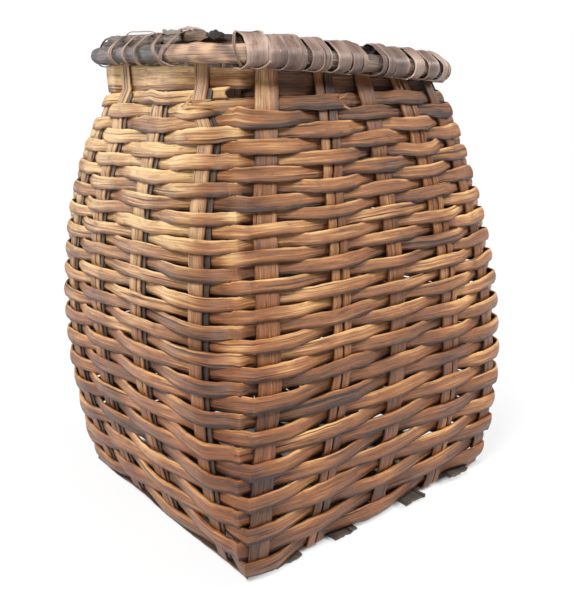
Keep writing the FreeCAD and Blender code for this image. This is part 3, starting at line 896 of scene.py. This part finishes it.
# %% Splinters of the first row
SPLINTER_SEED, ROW_END_SEED = 340, 350
SPLINTER_STEPS, SPLINTER_THICK = 8, 0.9 * MM


def splinter(name, base, direction, outward, length, width, seed, light, red):
    """A thin chip that tapers and lifts off the row towards its tip."""
    across = direction.cross(outward).normalized()
    frames = []
    for number in range(SPLINTER_STEPS + 1):
        t = number / SPLINTER_STEPS
        point = base + direction * (length * t) + outward * (1.6 * MM * t * t + 0.3 * MM)
        frames.append((point, across, (outward - direction * 0.4 * t).normalized(), width * (1 - 0.75 * t)))
    piece = lay_strip(name, frames, width, SPLINTER_THICK, seed, cup=0.2 * MM, ragged=0.25, torn=0.8 * MM, cross=2)
    paint(piece, light, red, seed, lambda point, normal, light, red, inner: (light, red, 0.0))
    finish_piece(piece, weaver_wood, "weaver_splint")
    return piece


splinters = []
point, normal, along = upright_place("left", 0, row_heights[1])
# step along the row, rise, length in mm, and how much each one points up
for number, (step, rise, length, way) in enumerate(((-8, 1, 30, 0.0), (-2, 4, 22, 0.08), (4, -6, 8, -0.9),
                                                    (-13, 0, 16, 0.2))):
    base = point + along * step * MM + normal * 4.6 * MM + UP * rise * MM
    direction = (along * (1 if number < 2 else 0.3) + UP * way).normalized()
    splinters.append(splinter(f"wood_splinter_{number + 1}", base, direction, normal, length * MM, 3.5 * MM,
                              SPLINTER_SEED + number, -0.02, 0.5))
point, normal, along = upright_place("front", 1, row_heights[1])
for number, (step, rise, way) in enumerate(((9, 3, 0.3), (11, -2, -0.5), (10, 0, 0.05))):
    base = point + along * step * MM + normal * 4.2 * MM + UP * rise * MM
    splinters.append(splinter(f"wood_row_1_end_{number + 1}", base, (along + UP * way).normalized(), normal, 9 * MM,
                              4 * MM, ROW_END_SEED + number, 0.05, 0.1))
print("splinters:", len(splinters))

# %% Dark filler splints
FILLER_SEED, FILLER_STEPS = 400, 100
FILLER_TOP, FILLER_FOOT = 0.375, 0.008
FILLER_WIDTH, FILLER_THICK = 4.6 * MM, 1.3 * MM
fillers = []
for index, strips in enumerate(SIDE_STRIPS):
    for side, way in (("left", 1), ("right", -1)):
        frames = []
        for number in range(FILLER_STEPS + 1):
            z = FILLER_TOP + (FILLER_FOOT - FILLER_TOP) * number / FILLER_STEPS
            point, normal, along = upright_place(side, index, z)
            aside = (total(strips) / 2 + 2.9 * MM) * way + wander(FILLER_SEED + index, z, 0.05) * 0.7 * MM
            frames.append((point + along * aside - normal * 0.9 * MM, along, normal))
        piece = lay_strip(f"wood_filler_{side}_{index + 1}", frames, FILLER_WIDTH, FILLER_THICK,
                          FILLER_SEED + index, cup=0.1 * MM, ragged=0.12, torn=2 * MM, cross=2)
        # dark: partly the splint's own colour, partly painted shade beside the upright
        paint(piece, -0.12, -0.1, FILLER_SEED + index)
        finish_piece(piece, dark_rim, "upright_splint")
        fillers.append(piece)
print("fillers:", len(fillers))

# %% [markdown]
# ## Splints under the rim
# Above the closed rows the back and the left side carry one more row, which has broken off before the near corner,
# and a wide splint that fills the wedge up to the rim. On the front and the right side a second splint runs inside
# the uprights as a dark band. Both splints follow the slope of the rim instead of the rows.

# %% Broken row
ROW_TOP = row_heights[1] + row_pitch(1) * 0.43
BROKEN_Z = ROW_TOP + (1.2 + WIDE[0] / 2) * MM
BROKEN_SEED, BROKEN_WIDTH, BROKEN_THICK = 90, 9 * MM, 2.0 * MM
stations = weaver_stations(0, BROKEN_Z, BROKEN_SEED, 10.2 * MM, range(9, ROUND), closed=False, tail=17 * MM)
broken = lay_strip("wood_broken_row_back_left", stations, BROKEN_WIDTH, BROKEN_THICK, BROKEN_SEED,
                   cup=0.5 * MM, ragged=0.07, torn=3 * MM)
paint(broken, 0.02, -0.05, BROKEN_SEED)
finish_piece(broken, weaver_wood, "weaver_splint", "broken_row_back_left")
print("broken row:", broken.name)

# %% Bands under the rim
BAND_BELOW_RIM = 10.4 * MM
BAND_SWING, BAND_WIDTH, BAND_THICK = 2.3 * MM, 18 * MM, 1.6 * MM
OUTER_SEED, INNER_SEED = 91, 92


def rim_band(name, positions, always_inside, end, node, low_of, seed, material, lightness):
    """A band from just under the rim down to low_of. It stops short of the near corner at its end (-1 or 1)."""
    knots = []
    for position in positions:
        side, index, width = order[position % ROUND]
        point, normal, along = upright_place(side, index, THROAT_Z)
        out = 1 if position % 2 == 0 and not always_inside and position < ROUND else -1
        for way in (-1, 1):
            at_corner = position in (0, ROUND) and way == end
            reach = -way * 0.5 * MM if at_corner else way * (width / 2 + MM)
            knots.append(Knot(point + along * reach + normal * (out * BAND_SWING), along, normal, out,
                              position % ROUND))
    middles, widths, normals = [], [], []
    for point, out, normal in weave_line(knots, THROAT_Z, False):
        high = rim_z(point) - BAND_BELOW_RIM
        low = low_of(point, high)
        middles.append(Vector((point.x, point.y, (high + low) / 2)))
        widths.append(high - low)
        normals.append(normal)
    stations = []
    for number, (point, width, normal) in enumerate(zip(middles, widths, normals)):
        tangent = tangent_at(middles, number)
        outward = facing(tangent.cross(UP).normalized(), normal)
        stations.append((point, facing(outward.cross(tangent).normalized(), UP), outward, width))
    piece = lay_strip(name, stations, BAND_WIDTH, BAND_THICK, seed, cup=0.3 * MM, ragged=0.03, torn=1.5 * MM,
                      cross=6)
    paint(piece, lightness, 0.0, seed)
    finish_piece(piece, material, "rim_splint", node)
    return piece


def outer_band_low(point, high):
    """Down to the broken row, and a little further where that row has broken off."""
    free = ramp(point.y, -0.085, -0.115) if point.x < 0 else 0.0
    return max(high - 23 * MM, BROKEN_Z + (3.9 - 2 * free) * MM)


band = rim_band("wood_rim_splint_back_left", range(9, ROUND + 1), False, 1, "rim_splint_back_left",
                outer_band_low, OUTER_SEED, weaver_wood, 0.02)
inner_band = rim_band("wood_rim_splint_front_right", range(9), True, -1, "rim_splint_front_right",
                      lambda point, high: max(high - 24 * MM, ROW_TOP + 0.4 * MM), INNER_SEED, upright_wood,
                      -0.06)
print("splints under the rim:", band.name, inner_band.name)

# %% [markdown]
# ## Rim hoops
# Outside the uprights a round stick was bent green round the mouth; its two ends meet at the back left corner.
# It keeps grey bark at one end and is peeled and brown along the left side, with a few knots. Inside runs a flat
# hoop that stands higher. A rod with a radius that changes from place to place gives the knots, and the flat
# hoop is a strip like the others.

# %% Frames along the rim
STICK_OUT, STICK_R, STICK_DROP = 9.2 * MM, 6.8 * MM, 1.2 * MM
HOOP_IN, HOOP_LIFT, HOOP_WIDTH = 2.8 * MM, 3.4 * MM, 18 * MM
CORNER_SPREAD = 0.4


def rim_place(turn):
    """Point at a share of the way round the rim, from the middle of the right side, and the wall's normal."""
    angle = 2 * math.pi * turn
    x = math.copysign(abs(math.cos(angle)) ** CORNER_SPREAD, math.cos(angle))
    y = math.copysign(abs(math.sin(angle)) ** CORNER_SPREAD, math.sin(angle))
    point, normal = wall(x, y, THROAT_Z)
    return Vector((point.x, point.y, rim_z(point))), normal


def rim_frames(start, end, outward, height, count, face="side"):
    """Frames along the rim at a distance outside the wall and above the rim's level."""
    places = [rim_place(start + (end - start) * number / count) for number in range(count + 1)]
    points = [point + normal * outward + UP * height for point, normal in places]
    frames = []
    for number, (point, (_, normal)) in enumerate(zip(points, places)):
        tangent = tangent_at(points, number)
        side = facing(tangent.cross(UP).normalized(), normal)
        top = facing(side.cross(tangent).normalized(), UP)
        frames.append((point, top, side) if face == "side" else (point, side, top))
    return frames


print("middle of the front rim:", rim_place(0.75)[0])

# %% Stick and flat hoop
STICK_SEED, HOOP_SEED, HOOP_THICK = 93, 94, 2.3 * MM
# where each hoop starts and ends, as shares of the way round, and its number of stations
STICK_ENDS, HOOP_ENDS, STICK_STEPS, HOOP_STEPS = (0.4, 1.38), (0.296, 1.284), 260, 220
# knots of the stick: place along it in m, height in mm, and the side that they are on, in radians
STICK_KNOTS = ((0.05, 1.6, 0.2), (0.187, 1.7, 0.6), (0.199, 1.5, -0.3), (0.225, 1.0, 0.3))
KNOT_LENGTH = 6 * MM


def stick_radius(place, angle):
    bumps = sum(size * MM * bell(place, where, KNOT_LENGTH) * (0.5 + 0.5 * math.cos(angle - turn))
                for where, size, turn in STICK_KNOTS)
    slow = 0.5 * MM * noise.noise(Vector((place * 14, 0, 2)))
    ridges = 0.5 * MM * noise.noise(Vector((place * 45, 3 * math.cos(angle), 3 * math.sin(angle))))
    return STICK_R - 0.1 * MM + bumps + slow + ridges


def stick_shade(point, normal, light, red, inner):
    """Along the left side the bark has come off, except near the back corner."""
    if point.x < -0.1 and abs(point.y) < 0.135:
        grey = ramp(point.y, -0.066, -0.044)
        flakes = 0.3 * noise.noise(point * 110) + 0.2 * noise.noise(Vector((point.y * 30, point.z * 260, 5)))
        # the upper side is lighter by normal.z: painted light from above
        return 0.66 - 0.42 * grey + 0.12 * normal.z + flakes, 0.45 - 0.45 * grey, 0.0
    return 0.47 + 0.2 * noise.noise(point * 50), 0.2, 0.0


stick = lay_rod("wood_rim_stick", rim_frames(*STICK_ENDS, STICK_OUT, -STICK_DROP, STICK_STEPS), stick_radius,
                STICK_SEED)
paint(stick, 0.0, 0.0, STICK_SEED, stick_shade)
finish_piece(stick, stick_bark, "rim_stick", "rim_hoop_outer")
hoop = lay_strip("wood_rim_flat_hoop", rim_frames(*HOOP_ENDS, -HOOP_IN, HOOP_LIFT, HOOP_STEPS), HOOP_WIDTH,
                 HOOP_THICK, HOOP_SEED, cup=0.2 * MM, ragged=0.05, cross=8, torn=4 * MM)
paint(hoop, -0.06, -0.1, HOOP_SEED, lambda point, normal, light, red, inner: (light - 0.1, 0.35, 0.0))
finish_piece(hoop, dark_rim, "rim_splint", "rim_hoop_inner")
print("rim:", stick.name, hoop.name)

# %% [markdown]
# ## Bark lashing
# One strip of bark winds round both hoops. It passes below them where there is room between two uprights and
# fans out over the stick, so it covers the uprights' ends. On the front and right side the turns are wide and
# close; on the left and back side most have gone and thin strands are left. Each turn has its own width, and
# every second one lies a little higher, because wide turns overlap.

# %% Lengths along the rim
RIM_STEPS = 720
rim_line = [rim_place(number / RIM_STEPS) for number in range(RIM_STEPS + 1)]
rim_lengths = [0.0]
for (here, _), (after, _) in zip(rim_line, rim_line[1:]):
    rim_lengths.append(rim_lengths[-1] + (after.xy - here.xy).length)
whole = rim_lengths[-1]


def nearest_step(spot):
    return min(range(RIM_STEPS), key=lambda number: (rim_line[number][0].xy - spot).length)


def place_at(length):
    """Point of the rim at a length along it, and the wall's normal."""
    length %= whole
    low = min(bisect.bisect_right(rim_lengths, length), RIM_STEPS) - 1
    t = (length - rim_lengths[low]) / (rim_lengths[low + 1] - rim_lengths[low])
    (a, normal_a), (b, normal_b) = rim_line[low], rim_line[low + 1]
    return a.lerp(b, t), normal_a.lerp(normal_b, t).normalized()


def edge_length(position, way):
    """Length along the rim at the far (1) or near (-1) edge of an upright."""
    side, index, width = order[position % ROUND]
    point, normal, along = upright_place(side, index, THROAT_Z)
    return rim_lengths[nearest_step((point + along * (way * width / 2)).xy)]


def crossings_between(position, shares):
    """Lengths at shares of the gap between an upright and the next one."""
    start, end = edge_length(position, 1), edge_length(position + 1, -1)
    end += whole if end < start else 0.0
    return [start + (end - start) * share for share in shares]


print("length round the rim:", round(whole, 3), "m")

# %% Wind a strip round both hoops
BARK_CLEAR, INSIDE_CLEAR, TOP_CLEAR = 1.2 * MM, 2.2 * MM, 1 * MM
BARK_WIDTH, BARK_THICK = 12 * MM, 0.8 * MM


def contour_points(lift):
    """The way round both hoops: (outward, height, share of the turn)."""
    radius = STICK_R + BARK_CLEAR + lift
    inside = -(HOOP_IN + INSIDE_CLEAR + lift)
    top = HOOP_LIFT + HOOP_WIDTH / 2 + TOP_CLEAR + lift
    points = [(inside, -radius * 0.9)]
    for degrees in range(-110, 66, 13):
        angle = math.radians(degrees)
        points.append((STICK_OUT + radius * math.cos(angle), radius * math.sin(angle) - STICK_DROP))
    points += [(6.0 * MM, top - 1.6 * MM), (1.5 * MM, top - 0.2 * MM), (-1.5 * MM, top + 0.2 * MM),
               (inside + 0.6 * MM, top - 0.8 * MM), (inside, top - 3 * MM), (inside, 2 * MM),
               (inside, -radius * 0.6)]
    lengths = [0.0]
    for (a, b), (c, d) in zip(points, points[1:]):
        lengths.append(lengths[-1] + math.hypot(c - a, d - b))
    return [(out, height, length / lengths[-1]) for (out, height), length in zip(points, lengths)]


def wind(name, crossings, outers, widths, lifts, seed, narrow=6.0):
    """Crossings are the lengths where it passes inside, outers those outside. Without outers a turn slants."""
    points, normals, wides = [], [], []
    for turn, (here, after) in enumerate(zip(crossings, crossings[1:])):
        width = widths[turn] * MM
        least = min(narrow * MM, width)
        for out, height, share in contour_points(lifts[turn % len(lifts)]):
            if not outers:
                length = here + (after - here) * smooth(share / 0.6)
            elif share < 0.5:
                length = here + (outers[turn] - here) * smooth(share / 0.3)
            else:
                length = outers[turn] + (after - outers[turn]) * ramp(share, 0.52, 1)
            point, normal = place_at(length)
            points.append(point + normal * out + UP * height)
            normals.append(normal)
            wides.append(least + (width - least) * smooth(share / 0.22) * ramp(share, 0.97, 0.77))
    frames = []
    for number, (point, normal, wide) in enumerate(zip(points, normals, wides)):
        tangent = tangent_at(points, number)
        along = UP.cross(normal).normalized()
        out = tangent.cross(along).normalized()
        frames.append((point, facing(out.cross(tangent).normalized(), along), out, wide))
    return lay_strip(name, frames, BARK_WIDTH, BARK_THICK, seed, cup=0.25 * MM, ragged=0.08, cross=6)


def millimetres(*numbers):
    return [number * MM for number in numbers]


print("points in a turn:", len(contour_points(0.0)))

# %% Lashing on the front and right side
FRONT_SEED = 95
# measured: lengths along the rim in mm where the strip passes between the uprights and where each turn has its
# middle outside, then the turns' widths in mm
crossings = millimetres(530, 534, 557, 566, 575, 585, 594, 617, 626, 635, 657, 662, 675, 699, 716, 738, 750)
outers = millimetres(548, 559.5, 570, 577, 588, 596, 613, 625, 634, 654, 661, 674, 693, 712, 729, 746)
widths = [16, 15, 12, 4.2, 10, 7.5, 13.5, 9, 4.5, 4.5, 7.5, 15.5, 11.5, 15.5, 11, 12]
# from the front's last upright on, the turns are evenly spaced between the uprights
for position, shares in ((4, (0.85,)), (5, (0.2, 0.5, 0.8)), (6, (0.2, 0.5, 0.8)), (7, (0.25, 0.75)),
                         (8, (0.3, 0.6))):
    for length in crossings_between(position, shares):
        length += whole if length < crossings[-1] else 0.0
        outers.append((crossings[-1] + length) / 2)
        widths.append(random.Random(len(widths)).choice((11, 13, 15, 17, 19)))
        crossings.append(length)


def lashing_shade(point, normal, light, red, inner):
    # a random tone, lighter on the upper side and darker below by normal.z: painted light and shade from above
    drift = noise.noise(Vector((point.x * 60, point.y * 60, point.z * 12)))
    return 0.46 + 0.36 * drift + 0.1 * normal.z, 0.22, 0.0


lifts = millimetres(0.9, 0.0, 0.9, 1.4, 0.2, 1.0, 0.1)
lashing_front = wind("bark_lashing_front_right", crossings, outers, widths, lifts, FRONT_SEED)
paint(lashing_front, 0.0, 0.0, FRONT_SEED, lashing_shade)
finish_piece(lashing_front, bark, "lashing_bark", "rim_lashing_front_right")
print("turns on the front and right:", len(widths))

# %% Thin lashing and strands on the back and left side
LEFT_SEED, STRAND_SEED = 96, 140
crossings = crossings_between(8, (0.8,))
for position, shares in ((9, (0.5,)), (10, (0.4,)), (11, (0.6,)), (12, (0.5,)), (13, (0.2,))):
    crossings += crossings_between(position, shares)
outers = [(here + after) / 2 for here, after in zip(crossings, crossings[1:])] + crossings[-1:]
crossings += millimetres(368, 396, 402, 425, 462)
outers += millimetres(393, 398, 419, 439)
widths = [5, 4, 5, 4.5, 3.5, 3, 2, 1.8, 2.2, 4.5]
thin = [(wind("bark_lashing_left_back", crossings, outers, widths, millimetres(0.0, 0.4), LEFT_SEED, 3.5),
         "rim_lashing_left_back")]
# slanting strands: where each one starts and ends inside, and its width, in mm
for number, (here, after, width) in enumerate(((490, 464, 4.2), (466, 489, 3.6), (541, 535, 1.8))):
    thin.append((wind(f"bark_strand_{number + 1}", millimetres(here, after), None, [width], [0.9 * MM],
                      STRAND_SEED + number, 3.0),))
for strand, *nodes in thin:
    paint(strand, 0.0, 0.0, LEFT_SEED, speckled(0.55, 0.45, 0.3, 70))
    finish_piece(strand, bark, "lashing_bark", *nodes)
print("turns on the back and left:", len(widths), "strands:", len(thin) - 1)

# %% [markdown]
# ## Loose bark on the rim
# Where the turns have gone, the flat filler strips that lay over the two hoops show along the left side. They have
# split and curled, with pointed ends towards the back corner, and a few fibres stand up from them.

# %% Loose strips
LOOSE_SEED, FIBRE_SEED, LOOSE_STEPS, ARC_STEPS = 121, 129, 60, 40
LOOSE_THICK, FIBRE_RADIUS = 1.1 * MM, 0.45 * MM


def left_share(y):
    """Share of the way round the rim at a place of the left side, given in mm."""
    return nearest_step(Vector((-MOUTH, y * MM))) / RIM_STEPS


def loose_strip(name, start, end, outward, height, width, seed, material, light, red=0.0, face="side",
                taper=0.012, rise=0.0, slope=0.0):
    """start and end: y in mm on the left side; outward, height, width, rise and slope in mm."""
    frames = []
    raw = rim_frames(left_share(start), left_share(end), outward * MM, height * MM, LOOSE_STEPS, face)
    for number, (point, across, out) in enumerate(raw):
        wave = 0.8 * MM * noise.noise(Vector((number * 0.1, seed, 0)))
        wave += rise * MM * math.sin(math.pi * number / LOOSE_STEPS) + slope * MM * number / LOOSE_STEPS
        frames.append((point + UP * wave, across, out))
    piece = lay_strip(name, frames, width * MM, LOOSE_THICK, seed, cup=0.4 * MM, ragged=0.22, torn=2.5 * MM,
                      taper=taper)
    paint(piece, 0.0, 0.0, seed, speckled(light, red, 0.35))
    finish_piece(piece, material, "lashing_bark")
    return piece


loose = []
for number, (start, end, outward, height, width, material, options) in enumerate((
        (70, -36, 2.2, 10.0, 8, dark_rim, {"light": 0.62, "red": 0.15}),
        (82, 22, 4.6, 7.6, 5, dark_rim, {"light": 0.2}),
        (66, 14, 3.6, 12.2, 3.5, slat_wood, {"light": 0.8, "slope": -2}),
        (-58, -96, 1.6, 11.4, 8, dark_rim, {"light": 0.68, "red": 0.15}),
        (-92, -110, 2.6, 11.8, 9, dark_rim, {"light": 0.15}),
        (-36, -62, 3.6, 11.2, 9, slat_wood, {"light": 1.0, "taper": 0.0}),
        (-50, -86, 0.5, 14.6, 3.5, bark, {"light": 0.7, "red": 0.15, "face": "top", "rise": 2.5}),
        (-56, -76, 2.0, 15.0, 2.5, bark, {"light": 0.8, "red": 0.15, "face": "top", "rise": 1.5}))):
    loose.append(loose_strip(f"bark_filler_{number + 1}", start, end, outward, height, width,
                             LOOSE_SEED + number, material, **options))
arc = [(point + UP * (5.5 * MM * math.sin(math.pi * number / ARC_STEPS)), across, outward)
       for number, (point, across, outward)
       in enumerate(rim_frames(left_share(32), left_share(-32), 1.5 * MM, 11 * MM, ARC_STEPS))]
fibre = lay_rod("bark_fibre_arc", arc, lambda place, angle: FIBRE_RADIUS, FIBRE_SEED, sides=8)
paint(fibre, 0.0, 0.0, FIBRE_SEED, speckled(0.75, 0.1))
finish_piece(fibre, bark, "lashing_bark")
print("loose pieces on the rim:", len(loose) + 1)

# %% [markdown]
# ## Camera, light and floor
# The basket is seen from a little above, with the near left corner towards the viewer. A soft window stands at the
# left, a second one behind the basket gives the sheen along the left side, and a slightly weaker one at the right
# lights the front. The floor is white and turns into the background, but keeps the shadow.

# %% Camera
CAMERA_PLACE = (-0.4205, -0.5730, 0.3695)
azimuth, pitch, roll = math.radians(37.31), math.radians(15.51), math.radians(-2.65)
FOCAL_PIXELS, PICTURE_HEIGHT, SENSOR = 743.3, 600, 36
camera_data = bpy.data.cameras.new("camera")
camera = bpy.data.objects.new("camera", camera_data)
bpy.context.scene.collection.objects.link(camera)
forward = Vector((math.sin(azimuth) * math.cos(pitch), math.cos(azimuth) * math.cos(pitch), -math.sin(pitch)))
level = Vector((math.cos(azimuth), -math.sin(azimuth), 0))
top = level.cross(forward)
right = level * math.cos(roll) + top * math.sin(roll)
above = top * math.cos(roll) - level * math.sin(roll)
camera.matrix_world = Matrix.Translation(CAMERA_PLACE) @ Matrix((right, above, -forward)).transposed().to_4x4()
camera_data.sensor_fit = "VERTICAL"
camera_data.sensor_height = SENSOR
camera_data.lens = FOCAL_PIXELS / PICTURE_HEIGHT * SENSOR
camera_data.clip_start = 0.01
bpy.context.scene.camera = camera
print("focal length:", round(camera_data.lens, 1), "mm")

# %% Floor
FLOOR_SIZE, FLOOR_DROP = 8, 0.5 * MM
PAPER, WHITE = (0.9, 0.9, 0.9, 1), (1, 1, 1, 1)


def mixed_surface(tree, output, factor, first, second):
    """Leads two shaders, mixed by the factor, to the output node."""
    mixer = tree.nodes.new("ShaderNodeMixShader")
    for number, source in enumerate((factor, first, second)):
        tree.links.new(source, mixer.inputs[number])
    tree.links.new(mixer.outputs["Shader"], tree.nodes.new(output).inputs["Surface"])


deselect()
bpy.ops.mesh.primitive_plane_add(size=FLOOR_SIZE, location=(0, 0, -FLOOR_DROP))
floor = bpy.context.object
floor.name = "floor"
white = bpy.data.materials.new("white floor")
white.use_nodes = True
tree = white.node_tree
tree.nodes.clear()
paper = add(tree, "ShaderNodeBsdfDiffuse", Color=PAPER)
bright = add(tree, "ShaderNodeEmission", Color=WHITE, Strength=1.0)
place = tree.nodes.new("ShaderNodeTexCoord")
axes = tree.nodes.new("ShaderNodeSeparateXYZ")
rays = tree.nodes.new("ShaderNodeLightPath")
tree.links.new(place.outputs["Object"], axes.inputs[0])
far = maths(tree, "MAXIMUM", maths(tree, "ABSOLUTE", axes.outputs["X"]), maths(tree, "ABSOLUTE", axes.outputs["Y"]))
# inside the foot the floor stays dark, close round it the shadow shows, and further out it is plain white
shadow_free = maths(tree, "MULTIPLY", spread(tree, far, 0.139, 0.147), spread(tree, far, 0.15, 0.4, 0.66, 1.0))
mixed_surface(tree, "ShaderNodeOutputMaterial",
              maths(tree, "MULTIPLY", shadow_free, rays.outputs["Is Camera Ray"]),
              paper.outputs["BSDF"], bright.outputs["Emission"])
floor.data.materials.append(white)
print("floor:", FLOOR_SIZE, "m wide")


# %% Lamps and world
def area_light(name, place, target, size, power):
    data = bpy.data.lights.new(name, "AREA")
    data.shape = "DISK"
    data.size = size
    data.energy = power
    lamp = bpy.data.objects.new(name, data)
    bpy.context.scene.collection.objects.link(lamp)
    lamp.location = place
    lamp.rotation_euler = (Vector(target) - Vector(place)).to_track_quat("-Z", "Y").to_euler()


area_light("window at the left", (-1.15, -0.75, 1.6), (0, 0, 0.2), 0.6, 34)
area_light("window behind left", (-0.75, 1.25, 0.95), (-0.1, 0, 0.25), 0.8, 13)
area_light("window at the right", (1.2, -1.0, 1.3), (0, -0.1, 0.2), 0.6, 27)

world = bpy.data.worlds.new("studio")
bpy.context.scene.world = world
world.use_nodes = True
tree = world.node_tree
tree.nodes.clear()
lit = add(tree, "ShaderNodeBackground", Color=(0.95, 0.97, 1, 1), Strength=0.24)
seen = add(tree, "ShaderNodeBackground", Color=WHITE, Strength=1.0)
rays = tree.nodes.new("ShaderNodeLightPath")
mixed_surface(tree, "ShaderNodeOutputWorld", rays.outputs["Is Camera Ray"], lit.outputs["Background"],
              seen.outputs["Background"])
bpy.context.scene.view_settings.view_transform = "Standard"
print("lamps:", len(bpy.data.lights))
